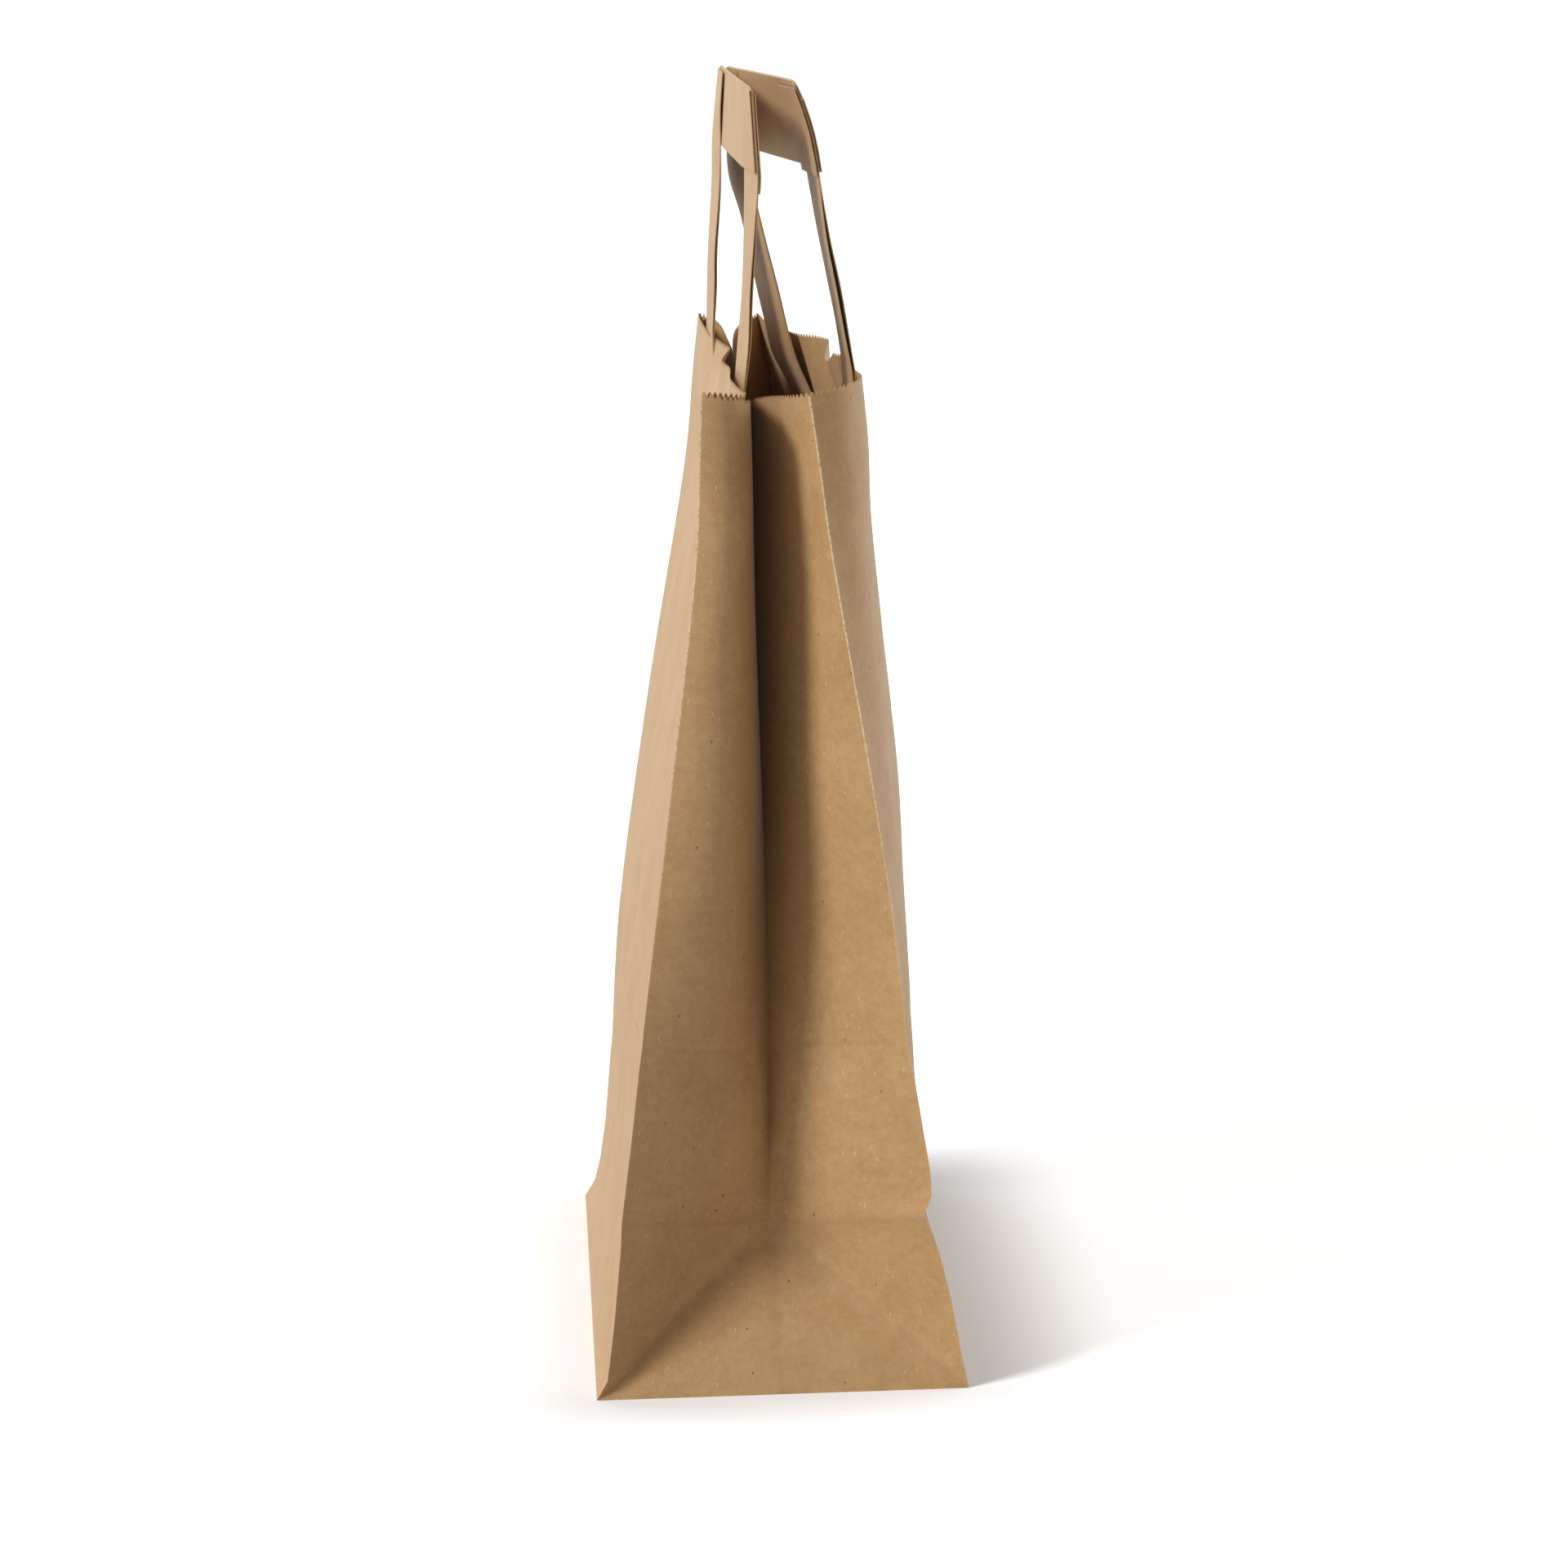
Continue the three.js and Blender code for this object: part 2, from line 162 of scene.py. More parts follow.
FOOT_PLACES = {"near_left": (-1, -1), "near_right": (1, -1), "far_left": (-1, 1), "far_right": (1, 1),
               "near_fold": (0, -1), "far_fold": (0, 1)}
CREASE_PLACES = {"near_left": (-0.842, -1), "near_right": (0.782, -1), "far_left": (-0.824, 1),
                 "far_right": (0.8, 1), "near_fold": (-0.024, -0.694), "far_fold": (0, 0.694)}
FOOT = {name: place(*spot, 0) for name, spot in FOOT_PLACES.items()}
CREASE = {name: crease_place(*spot, FOOT[name]) for name, spot in CREASE_PLACES.items()}
SECTIONS = [
    {"up": 0.24, "near_left": (-0.8, -1), "near_right": (0.757, -1), "far_left": (-0.795, 1),
     "far_right": (0.768, 1), "near_fold": (-0.02, -0.685), "far_fold": (0, 0.685),
     "elbows": [(-0.13, -0.84), (0.34, -0.855), (0.34, 0.855), (-0.34, 0.855)],
     "right": [(0.775, -0.6), (0.79, 0), (0.785, 0.6)],
     "left": [(-0.8, -0.5), (-0.805, 0), (-0.8, 0.5)]},
    {"up": 0.34, "near_left": (-0.73, -1), "near_right": (0.72, -1), "far_left": (-0.745, 1),
     "far_right": (0.72, 1), "near_fold": (-0.012, -0.67), "far_fold": (0, 0.67),
     "elbows": [(-0.2, -0.91), (0.36, -0.86), (0.34, 0.85), (-0.34, 0.85)],
     "right": [(0.765, -0.6), (0.785, 0), (0.77, 0.6)],
     "left": [(-0.77, -0.5), (-0.78, 0), (-0.78, 0.5)]},
    {"up": 0.58, "near_left": (-0.553, -1), "near_right": (0.55, -1), "far_left": (-0.54, 1),
     "far_right": (0.54, 1), "near_fold": (-0.02, -0.62), "far_fold": (0, 0.67),
     "elbows": [(-0.08, -1.02), (0.29, -0.93), (0.2, 0.86), (-0.2, 0.88)],
     "right": [(0.66, -0.8), (0.75, -0.4), (0.77, 0), (0.72, 0.5)],
     "left": [(-0.56, -0.5), (-0.57, 0), (-0.56, 0.5)]},
    {"up": 0.84, "near_left": (-0.372, -1), "near_right": (0.33, -1), "far_left": (-0.285, 1),
     "far_right": (0.29, 1), "near_fold": (-0.045, -0.57), "far_fold": (-0.01, 0.65),
     "elbows": [(-0.045, -1.04), (0.28, -0.99), (0.12, 0.9), (-0.12, 0.95)],
     "right": [(0.49, -0.9), (0.583, -0.7), (0.603, -0.3), (0.565, 0.1), (0.47, 0.5), (0.37, 0.8)],
     "left": [(-0.25, -0.93), (-0.2, -0.82), (-0.22, -0.6), (-0.25, -0.2), (-0.26, 0.2), (-0.26, 0.6)]},
    {"up": 0.93, "near_left": (-0.345, -1), "near_right": (0.27, -1), "far_left": (-0.235, 1),
     "far_right": (0.215, 1), "near_fold": (-0.05, -0.56), "far_fold": (-0.023, 0.635),
     "elbows": [(-0.045, -1.03), (0.22, -0.99), (0.04, 0.88), (-0.095, 0.965)],
     "right": [(0.44, -0.93), (0.555, -0.77), (0.555, -0.5), (0.53, -0.25), (0.52, 0), (0.45, 0.25),
               (0.37, 0.5), (0.27, 0.78)],
     "left": [(-0.22, -0.94), (-0.15, -0.86), (-0.165, -0.6), (-0.19, -0.2), (-0.19, 0.2),
              (-0.22, 0.6)]},
    {"up": 1, "near_left": (-0.325, -1), "near_right": (0.218, -1), "far_left": (-0.188, 1),
     "far_right": (0.14, 0.99), "near_fold": (-0.06, -0.55), "far_fold": (-0.036, 0.62),
     "elbows": [(-0.045, -1.02), (0.08, -0.985), (-0.07, 0.85), (-0.07, 0.98)],
     "right": [(0.38, -0.955), (0.515, -0.82), (0.505, -0.6), (0.49, -0.3), (0.4, -0.09), (0.395, 0.01),
               (0.47, 0.12), (0.43, 0.24), (0.31, 0.38), (0.25, 0.52), (0.17, 0.72)],
     "left": [(-0.19, -0.95), (-0.1, -0.92), (-0.07, -0.88), (-0.11, -0.78), (-0.14, -0.6),
              (-0.12, -0.33), (-0.16, -0.16), (-0.12, 0.03), (-0.035, 0.18), (-0.1, 0.31),
              (-0.15, 0.43), (-0.18, 0.66)]},
]
ELBOW_PULL = 0.8
print(len(SECTIONS), "level sections above the crease line at", round(CREASE_HEIGHT, 1), "mm")

# %% [markdown]
# ## Any point of the paper
#
# A face of the tube runs from one corner or fold to the next. For a share of its width we find the seven
# places that it passes (the crease line and the six sections) and join them with one smooth line up the
# bag. Below the crease line a gusset half is two flat triangles with a slanting crease between them.

# %% Faces of the tube


class Face:
    """One face of the tube: where it starts and ends, and how it runs in each level section."""

    def __init__(self, start, end, elbow=None, corner=None, points=None):
        self.start, self.end = start, end
        self.elbow, self.corner = elbow, corner
        self.is_panel = points is not None
        self.width = BAG_LENGTH if self.is_panel else HALF_WIDTH
        self.lines = [self.section_line(section, points) for section in SECTIONS]

    def section_line(self, section, points):
        start, end = (place(*section[name], section["up"]) for name in (self.start, self.end))
        if self.is_panel:
            passed = [place(*point, section["up"]) for point in section[points]]
            if points == "left":
                passed.reverse()
            return through([start, *passed, end])
        elbow = place(*section["elbows"][self.elbow], section["up"])
        return bend(start, mix(start, elbow, ELBOW_PULL), mix(end, elbow, ELBOW_PULL), end)

    def foot(self, share, height):
        """A point below the crease line."""
        raised = height / CREASE_HEIGHT
        if self.is_panel:
            on_base = mix(FOOT[self.start], FOOT[self.end], share)
            return mix(on_base, mix(CREASE[self.start], CREASE[self.end], share), raised)
        is_corner_first = self.start == self.corner
        fold = self.end if is_corner_first else self.start
        to_fold = share if is_corner_first else 1 - share
        if raised <= to_fold:
            return mix(FOOT[self.corner], FOOT[fold], to_fold) + (CREASE[fold] - FOOT[fold]) * raised
        on_edge = mix(FOOT[self.corner], CREASE[self.corner], raised)
        return on_edge + (CREASE[fold] - CREASE[self.corner]) * to_fold

    def column(self, share, heights):
        """The points of the paper at one share of the width, for heights measured on the paper."""
        crease = mix(CREASE[self.start], CREASE[self.end], share)
        upper = through([crease] + [line.at(share * line.length) for line in self.lines])
        above = upper.at(np.maximum(heights - CREASE_HEIGHT, 0))
        below = np.array([self.foot(share, min(height, CREASE_HEIGHT)) for height in heights])
        return np.where((heights > CREASE_HEIGHT)[:, None], above, below)


FACES = [
    Face("near_left", "near_fold", elbow=0, corner="near_left"),
    Face("near_fold", "near_right", elbow=1, corner="near_right"),
    Face("near_right", "far_right", points="right"),
    Face("far_right", "far_fold", elbow=2, corner="far_right"),
    Face("far_fold", "far_left", elbow=3, corner="far_left"),
    Face("far_left", "near_left", points="left"),
]
NEAR_LEFT_HALF, RIGHT_PANEL, LEFT_PANEL = FACES[0], FACES[2], FACES[5]
STARTS = np.concatenate([[0], np.cumsum([face.width for face in FACES])])
print("paper round the tube:", STARTS[-1], "mm")

# %% [markdown]
# ## The cut rim
#
# The factory tears the tube off against a toothed knife, so the rim is a row of small rounded teeth. In
# the middle of each wide panel there is a shallow smooth notch for the thumb that opens the bag.

# %% Height of the cut edge
TOOTH_PITCH = 2.9
TOOTH_DEPTH = 2.2
NOTCH_DEPTH = 6.0
NOTCH_LENGTH = 50.0
UNDER_TEETH = 0.7


def rim_height(face, share, tooth):
    """The height of the cut edge on the paper. A tooth is 0 at its root and 1 at its tip."""
    from_middle = abs(share - 0.5) * face.width
    if face.is_panel and from_middle < NOTCH_LENGTH / 2:
        return PAPER_HEIGHT - NOTCH_DEPTH * math.cos(math.pi * from_middle / NOTCH_LENGTH)
    return PAPER_HEIGHT - TOOTH_DEPTH * (1 - tooth)


print("teeth", TOOTH_PITCH, "mm apart, thumb notches", NOTCH_LENGTH, "mm long and", NOTCH_DEPTH, "mm deep")

# %% [markdown]
# ## The columns of the sheet
#
# The tube is glued along one lengthwise seam, where the sheet overlaps itself. We put the seam on the
# right panel close to its far edge, start the sheet there, go once round, and end a little past the
# start on the outside. One column of the mesh is as wide as one tooth, and the rows below the crease
# line are as high as a column is wide, so that the slanting creases run exactly along mesh edges.

# %% Columns and rows
SEAM_FROM_EDGE = 28.0
SEAM_OVERLAP = 15.0
SEAM_LIFT = 0.32
UPPER_ROWS = 84

ring = []
for face, start in zip(FACES, STARTS):
    count = round(face.width / TOOTH_PITCH)
    ring += [(face, i / count, start + face.width * i / count, 1 / count) for i in range(count)]
half_fields = round(HALF_WIDTH / TOOTH_PITCH)
seam_place = STARTS[3] - SEAM_FROM_EDGE
seam_index = min(range(len(ring)), key=lambda i: abs(ring[i][2] - seam_place))
ring = ring[seam_index:] + [(f, s, a + STARTS[-1], w) for f, s, a, w in ring[:seam_index]]
overlap_count = round(SEAM_OVERLAP / TOOTH_PITCH)
columns = ring + [(f, s, a + STARTS[-1], w) for f, s, a, w in ring[: overlap_count + 1]]
print(len(ring), "columns round the tube and", overlap_count, "in the glued overlap")

# %% [markdown]
# ## Edges that stray
#
# A used bag is never as straight as a drawing. Its lower corners are tucked, and the right edge has a
# dent at the crease line. For each upright edge we give how far it strays to the right at a few heights
# on the paper, and the shift fades out with the distance from the edge. The near left corner is also
# pinched: a narrow valley runs up beside its slanting crease.

# %% Edge shifts and the pinched corner
EDGE_SHIFTS = {
    "near_left": [(0, 0), (9, 3.6), (35, 3.0), (69, 1.3), (82, 0), (128, 0.4), (450, 0)],
    "far_left": [(0, 0), (8, 3.6), (20, 4.4), (39, 4.0), (77, 1.0), (115, 0), (450, 0)],
    "near_right": [(0, 0), (15, 0.3), (42, 1.7), (64, 1.5), (77, 0), (82, -1.6), (90, 3.0), (103, 3.4),
                   (132, 0.8), (158, -2.0), (187, -1.2), (224, 0), (450, 0)],
    "far_right": [(0, 0), (82, 0.5), (95, 1.5), (130, 0), (450, 0)],
}
EDGE_REACH = 34.0
LEFT_PANEL_REACH = 102.0
TUCK_DEPTH = 2.6
TUCK_WIDTH = 3.2
TUCK_RISE = (0, 8)
TUCK_FALL = (20, 50)


def edge_shift(face, share, heights):
    """How far the edges of a face are pushed to the right, in millimetres."""
    total = np.zeros_like(heights)
    reach = LEFT_PANEL_REACH if face is LEFT_PANEL else EDGE_REACH
    for name, run in ((face.start, share * face.width), (face.end, (1 - share) * face.width)):
        if name in EDGE_SHIFTS:
            at, shift = np.array(EDGE_SHIFTS[name]).T
            total += np.interp(heights, at, shift) * (1 - ease(run, 0, reach))
    return total


def from_corner(face, share):
    """How far a column of a gusset half lies from its corner edge."""
    return (share if face.start == face.corner else 1 - share) * face.width


def by_slant(face, share, heights):
    """How far a point of a gusset half lies under its slanting crease, and how far along it."""
    away = from_corner(face, share)
    return (away - heights) / math.sqrt(2), (away + heights) / math.sqrt(2)


def tuck(face, share, heights):
    """The pinch beside the slanting crease at the near left corner."""
    if face is not NEAR_LEFT_HALF:
        return np.zeros_like(heights)
    under, along = by_slant(face, share, heights)
    pinch = TUCK_DEPTH * np.exp(-((under / TUCK_WIDTH) ** 2))
    return pinch * ease(along, *TUCK_RISE) * (1 - ease(along, *TUCK_FALL))


print(len(EDGE_SHIFTS), "upright edges stray")

# %% [markdown]
# ## Waves and pressed creases
#
# Thin paper swells in long shallow waves that die out where a fold holds it straight. Six sine waves of
# different slants are enough to look random. Two lines run all round: the crease line of the block
# bottom, which stands out as a low ridge, and above it a faint crease where the flat-packed base lay
# against the tube. The folding machine also pressed valleys along the slanting creases and up the middle
# of each block end.

# %% Waves, ridges and valleys
WAVES = [(1.0, 0.021, 0.013, 0.4), (0.8, -0.034, 0.019, 2.1), (0.5, 0.052, 0.031, 4.0),
         (0.35, 0.013, -0.047, 1.2), (0.3, 0.083, 0.012, 5.3), (0.22, 0.11, -0.05, 0.9)]
WAVE_DEPTH = 0.75
GUSSET_WAVES = 0.35
WAVE_RISE = (5, 60)
CALM_SHARE = 0.8
CALM_REACH = 12.0
FLAT_CREASE_HEIGHT = 162.0
FLAT_CREASE_DEPTH = 0.7
FLAT_CREASE_REACH = 3.0
RIDGE_DEPTH = 1.5
RIDGE_REACH = 5.0
SLANT_DEPTH = 1.5
SLANT_FLANKS = (3.5, 9.0)
SLANT_RISE = (5, 35)
FOLD_DEPTH = 0.6
FOLD_REACH = 5.0
FOLD_RISE = (3, 25)
VALLEY_END = (76, 84)


def waves(face, share, sheet_along, heights):
    """Gentle waves that die out at the folds, the crease line and the base."""
    pinned = math.sin(math.pi * share) * (1 if face.is_panel else GUSSET_WAVES)
    calm = 1 - CALM_SHARE * np.exp(-(((heights - CREASE_HEIGHT) / CALM_REACH) ** 2))
    swell = sum(size * np.sin(u * sheet_along + v * heights + phase) for size, u, v, phase in WAVES)
    return WAVE_DEPTH * swell * pinned * (ease(heights, *WAVE_RISE) * calm)


def ridges(face, share, heights):
    """The ridge of the crease line and, as a hollow, the faint crease above it."""
    crease = FLAT_CREASE_DEPTH * np.exp(-np.abs(heights - FLAT_CREASE_HEIGHT) / FLAT_CREASE_REACH)
    if face is NEAR_LEFT_HALF:
        return -crease
    ridge = RIDGE_DEPTH * np.exp(-np.abs(heights - CREASE_HEIGHT) / RIDGE_REACH)
    return ridge * math.sin(math.pi * share) ** 0.5 - crease


def valleys(face, share, heights):
    """What is pressed in along the slanting crease and the middle fold of the block bottom."""
    if face.is_panel:
        return np.zeros_like(heights)
    under, along = by_slant(face, share, heights)
    flanks = SLANT_FLANKS if face is NEAR_LEFT_HALF else SLANT_FLANKS[::-1]
    slant = np.exp(-np.abs(under) / np.where(under > 0, *flanks)) * ease(along, *SLANT_RISE)
    to_fold = face.width - from_corner(face, share)
    fold = math.exp(-to_fold / FOLD_REACH) * ease(heights, *FOLD_RISE)
    return (SLANT_DEPTH * slant + FOLD_DEPTH * fold) * (1 - ease(heights, *VALLEY_END))


print("crease line at", CREASE_HEIGHT, "mm and a faint crease at", FLAT_CREASE_HEIGHT, "mm")

# %% [markdown]
# ## Soft bends
#
# Paper that was folded flat and opened again doesn't bend like sheet metal. Where a crease is soft, we
# draw each corner of the mesh towards its neighbours, over and over, as a stretched net would settle. A
# smoothing modifier would round the rim and the base too, so we write the few lines ourselves, with a
# mask that says how soft each place is.

# %% Where the paper bends softly, and how
SOFT_REACH = 8.0
SOFT_ROUNDS = 14
SOFT_PULL = 0.6
PANEL_SOFTNESS = 0.5
GUSSET_SOFTNESS = 0.25
FIRM_EDGE = 9
FIRM_FOOT = 6
LEAST_STEP = 0.5


def softness(face, share, heights):
    """Where the paper bends softly: 1 on the creases of the block bottom, 0 on its edges."""
    soft = np.exp(-(((heights - CREASE_HEIGHT) / SOFT_REACH) ** 2))
    if face.is_panel:
        away = min(share, 1 - share) * face.width
        soft *= PANEL_SOFTNESS
    else:
        away = from_corner(face, share)
        slant = np.exp(-(((away - heights) / SOFT_REACH) ** 2)) * (heights < CREASE_HEIGHT)
        soft = np.maximum(soft * (1 if face is NEAR_LEFT_HALF else GUSSET_SOFTNESS), slant)
    return soft * ease(away, 0, FIRM_EDGE) * ease(heights, 0, FIRM_FOOT)


def soften(points, soft):
    """Round the paper where it is soft, by drawing each corner towards its neighbours."""
    for _ in range(SOFT_ROUNDS):
        pull, total = 0, 0
        for axis, step in ((0, 1), (0, -1), (1, 1), (1, -1)):
            beside = np.roll(points, step, axis) - points
            weight = 1 / np.maximum(np.linalg.norm(beside, axis=2, keepdims=True), LEAST_STEP)
            pull, total = pull + beside * weight, total + weight
        points = points + SOFT_PULL * soft[:, :, None] * pull / total
    return points


print("soft bends reach", SOFT_REACH, "mm to both sides of a crease")

# %% [markdown]
# ## The grid of the sheet
#
# Every column now gets its run of points, from the base up to the roots of the teeth. Dents and waves
# push the paper along its own normal, because they move it in or out and hardly along itself. The base
# holds the lowest rows still, and the overlap of the seam lies a little outside the first columns.

# %% Points of the whole sheet
BASE_HOLD = 4

foot_heights = np.linspace(0, CREASE_HEIGHT, half_fields + 1)
upper_shares = np.linspace(0, 1, UPPER_ROWS + 1)[1:]
lines, line_heights = [], []
for face, share, _, _ in columns:
    root = rim_height(face, share, 0)
    heights = np.concatenate([foot_heights, mix(CREASE_HEIGHT, root - UNDER_TEETH, upper_shares), [root]])
    line = face.column(share, heights)
    line[:, 0] += edge_shift(face, share, heights)
    lines.append(line)
    line_heights.append(heights)
grid = np.stack(lines, axis=1)
paper_heights = np.stack(line_heights, axis=1)

normals = np.cross(np.gradient(grid, axis=1), np.gradient(grid, axis=0))
normals /= np.linalg.norm(normals, axis=2, keepdims=True)
soft = np.zeros_like(paper_heights)
for i, (face, share, sheet_along, _) in enumerate(columns):
    heights = paper_heights[:, i]
    lift = waves(face, share, sheet_along, heights) + ridges(face, share, heights)
    lift = lift - tuck(face, share, heights) - valleys(face, share, heights)
    lift = lift * ease(heights, 0, BASE_HOLD) + SEAM_LIFT * (i >= len(ring))
    grid[:, i] += normals[:, i] * lift[:, None]
    soft[:, i] = softness(face, share, heights)
soft[:, [0, -1]] = 0
grid = soften(grid, soft)
print("grid of", grid.shape[0], "rows and", grid.shape[1], "columns")

# %% [markdown]
# ## From points to paper
#
# Every piece is made the same way: a sheet of faces that lies on the outside of the paper, a stored
# sheet coordinate in millimetres for the finish to use, and a real thickness to the inside. We apply the
# thickness at once, because only then can the sharp edges be found on the finished shape.

# %% A sheet with thickness
SHARP_ANGLE = math.radians(33)


class Sheet:
    """Corners, their places on the flat paper, and the faces between them."""

    def __init__(self):
        self.corners = []
        self.flat = []
        self.faces = []

    def corner(self, point, flat):
        """Add one corner and give its number."""
        self.corners.append(tuple(point))
        self.flat.append((flat[0], flat[1], 0.0))
        return len(self.corners) - 1

    def surface(self, points, flat, is_turned=False):
        """Add a grid of points and the quads between them. A turned one faces the other way."""
        if is_turned:
            points, flat = points[:, ::-1], flat[:, ::-1]
        rows, cols = points.shape[:2]
        ids = np.array([[self.corner(points[r, c], flat[r, c]) for c in range(cols)] for r in range(rows)])
        for r in range(rows - 1):
            for c in range(cols - 1):
                self.faces.append((ids[r, c], ids[r, c + 1], ids[r + 1, c + 1], ids[r + 1, c]))

    def make(self, name, wall):
        """Turn the sheet into a piece whose paper is as thick as the wall."""
        mesh = bpy.data.meshes.new(name)
        mesh.from_pydata((np.array(self.corners) * MM).tolist(), [], [list(map(int, f)) for f in self.faces])
        stored = mesh.attributes.new("sheet", "FLOAT_VECTOR", "POINT")
        stored.data.foreach_set("vector", np.array(self.flat).ravel())
        piece = bpy.data.objects.new(name, mesh)
        bpy.context.scene.collection.objects.link(piece)
        thickness = piece.modifiers.new("paper", "SOLIDIFY")
        thickness.thickness = wall * MM
        thickness.offset = -1
        ready = piece.evaluated_get(bpy.context.evaluated_depsgraph_get())
        solid = bpy.data.meshes.new_from_object(ready)
        piece.modifiers.clear()
        piece.data = solid
        solid.name = name
        solid.shade_smooth()
        solid.set_sharp_from_angle(angle=SHARP_ANGLE)
        print(name, len(solid.polygons), "faces")
        return piece


# %% [markdown]
# ## The bag body
#
# The walls are the grid that we worked out. Along the rim each column ends in one tooth, which needs
# only three more corners. Below the crease line the fields are cut into triangles along the slanting
# crease, so that it stays a clean line.

# %% Walls and rim
TOOTH_STEPS = [(0.28, 0.74), (0.5, 1.0), (0.72, 0.74)]

body = Sheet()
flat = np.empty(grid.shape[:2] + (2,))
flat[:, :, 0] = [column[2] for column in columns]
flat[:, :, 1] = paper_heights
wall_ids = np.array([[body.corner(grid[r, c], flat[r, c]) for c in range(grid.shape[1])]
                     for r in range(grid.shape[0])])
last = grid.shape[0] - 2
for c in range(grid.shape[1] - 1):
    face, share, sheet_along, step = columns[c]
    slants_back = not face.is_panel and face.end == face.corner
    for r in range(last):
        a, b = wall_ids[r, c], wall_ids[r, c + 1]
        e, d = wall_ids[r + 1, c], wall_ids[r + 1, c + 1]
        if face.is_panel or r >= half_fields:
            body.faces.append((a, b, d, e))
        elif slants_back:
            body.faces += [(a, b, e), (b, d, e)]
        else:
            body.faces += [(a, b, d), (a, d, e)]
    tooth = []
    for part, height in TOOTH_STEPS:
        cut = rim_height(face, share + part * step, height)
        under = mix(grid[last, c], grid[last, c + 1], part)
        root = mix(grid[last + 1, c], grid[last + 1, c + 1], part)
        up = (root - under) / np.linalg.norm(root - under)
        above = cut - mix(paper_heights[last + 1, c], paper_heights[last + 1, c + 1], part)
        tooth.append(body.corner(root + up * above, (sheet_along + part * step * face.width, cut)))
    body.faces.append((wall_ids[last, c], wall_ids[last, c + 1], wall_ids[last + 1, c + 1],
                       *reversed(tooth), wall_ids[last + 1, c]))

print(len(body.faces), "faces in the walls and the rim")

# %% [markdown]
# ## The base
#
# The base closes the tube: the wall turns under, and two long flaps lie over each other beneath it, cut
# at 45 degrees from the corners as on every block bottom. The paper turns in through a few shrinking
# loops and stands a hair above the floor, so that the flaps have room.

# %% Base and its flaps
BASE_LIFT = 0.75
BASE_LOOPS = [(0.994, 0.6), (0.98, 1.0), (0.5, 1.0)]
FLAP_OVERLAP = 14.0
FLAP_INSET = 0.6
FLAP_END_INSET = 0.8
FLAP_LEVELS = {-1: 0.02, 1: 0.3}

loop = list(wall_ids[0, : len(ring)])
for scale, raised in BASE_LOOPS:
    inner = [body.corner((*(grid[0, c, :2] * scale), raised * BASE_LIFT), grid[0, c, :2] * scale)
             for c in range(len(ring))]
    for c in range(len(ring)):
        after = (c + 1) % len(ring)
        body.faces.append((loop[after], loop[c], inner[c], inner[after]))
    loop = inner
middle = body.corner((0, 0, BASE_LIFT), (0, 0))
for c in range(len(ring)):
    body.faces.append((loop[(c + 1) % len(ring)], loop[c], middle))

reach = HALF_WIDTH + FLAP_OVERLAP
root_end, tip_end = HALF_LENGTH - FLAP_END_INSET, HALF_LENGTH - reach
for side, level in FLAP_LEVELS.items():
    root, tip = side * (HALF_WIDTH - FLAP_INSET), side * (HALF_WIDTH - reach)
    outline = [(root, -root_end), (tip, -tip_end), (tip, tip_end), (root, root_end)]
    ids = [body.corner((x, y, level), (x, y)) for x, y in outline]
    body.faces.append(tuple(ids if side > 0 else reversed(ids)))
bag = body.make("bag_paper", PAPER_WALL)

# %% [markdown]
# ## The handles
#
# Each handle is a strip of paper folded flat to two plies. Two legs are glued inside a wide panel, and
# a folded grip wraps their upper ends. Paper that was carried twists a little, so for every leg we give
# the lean of its near edge and of its far edge at a few heights. Above the legs the grip runs straight
# between two chosen lines, its lower edge and its top.

# %% Where the handles run
STRIP_WIDTH = 42.0
GRIP_HALF = 102.0
LEG_NEAR_EDGES = {"near": -GRIP_HALF, "far": GRIP_HALF - STRIP_WIDTH}
GRIP_FOOT = 533.0
HANDLES = {
    "left": {
        "panel": LEFT_PANEL, "inward": 1,
        "near": {"near": [(425, -9.0), (447, -5.9), (459, -4.6), (482, -3.4), (506, -1.2)],
                 "far": [(425, -10.5), (445, -8.3), (454, -7.5), (478, -5.1), (502, -3.8)]},
        "far": {"near": [(447, -13.3), (466, -12.1), (485, -11.5), (510, -9.1),
                         (533, -8.0), (549, -7.8), (568, -6.2)],
                "far": [(444, -14.5), (461, -14.0), (481, -13.1), (516, -10.5),
                        (533, -10.0), (550, -8.3), (568, -6.2)]},
        "lower": [(-102, 1.0), (-60, -2.8), (0, -4.8), (60, -6.5), (102, -8.5)],
        "upper": [(-102, -0.8), (0, -3.0), (102, -4.9)],
        "top": [(-102, 569.5), (102, 567.0)], "corner": 1.2, "bulge": 0.0,
        "opening": {"near": 1.1, "far": 1.0}, "outside": ["far"], "tab": 9.0, "tab_lift": 0.0,
    },
    "right": {
        "panel": RIGHT_PANEL, "inward": -1,
        "near": {"near": [(445, 43.2), (458, 41.2), (482, 37.5), (505, 32.9)],
                 "far": [(445, 40.3), (465, 37.4), (483, 34.1), (512, 28.8)]},
        "far": {"near": [(420, 28.5), (433, 26.1), (446, 22.9), (465, 18.8), (490, 12.8), (510, 8.3)],
                "far": [(428, 17.5), (441, 15.2), (461, 10.9), (497, 3.6), (516, -1.6)]},
        "lower": [(-102, 28.5), (-60, 25.5), (20, 9.4), (60, 3.6), (102, -2.4)],
        "upper": [(-102, 18.2), (-60, 14.6), (20, 6.0), (60, 1.2), (102, -2.9)],
        "top": [(-102, 572.0), (102, 566.5)], "corner": 8.0, "bulge": 1.6,
        "opening": {"near": 2.0, "far": 0.5}, "outside": [], "tab": 1.8, "tab_lift": 1.3,
    },
}
print(", ".join(HANDLES), "handle: grip", 2 * GRIP_HALF, "mm long, strip", STRIP_WIDTH, "mm wide")

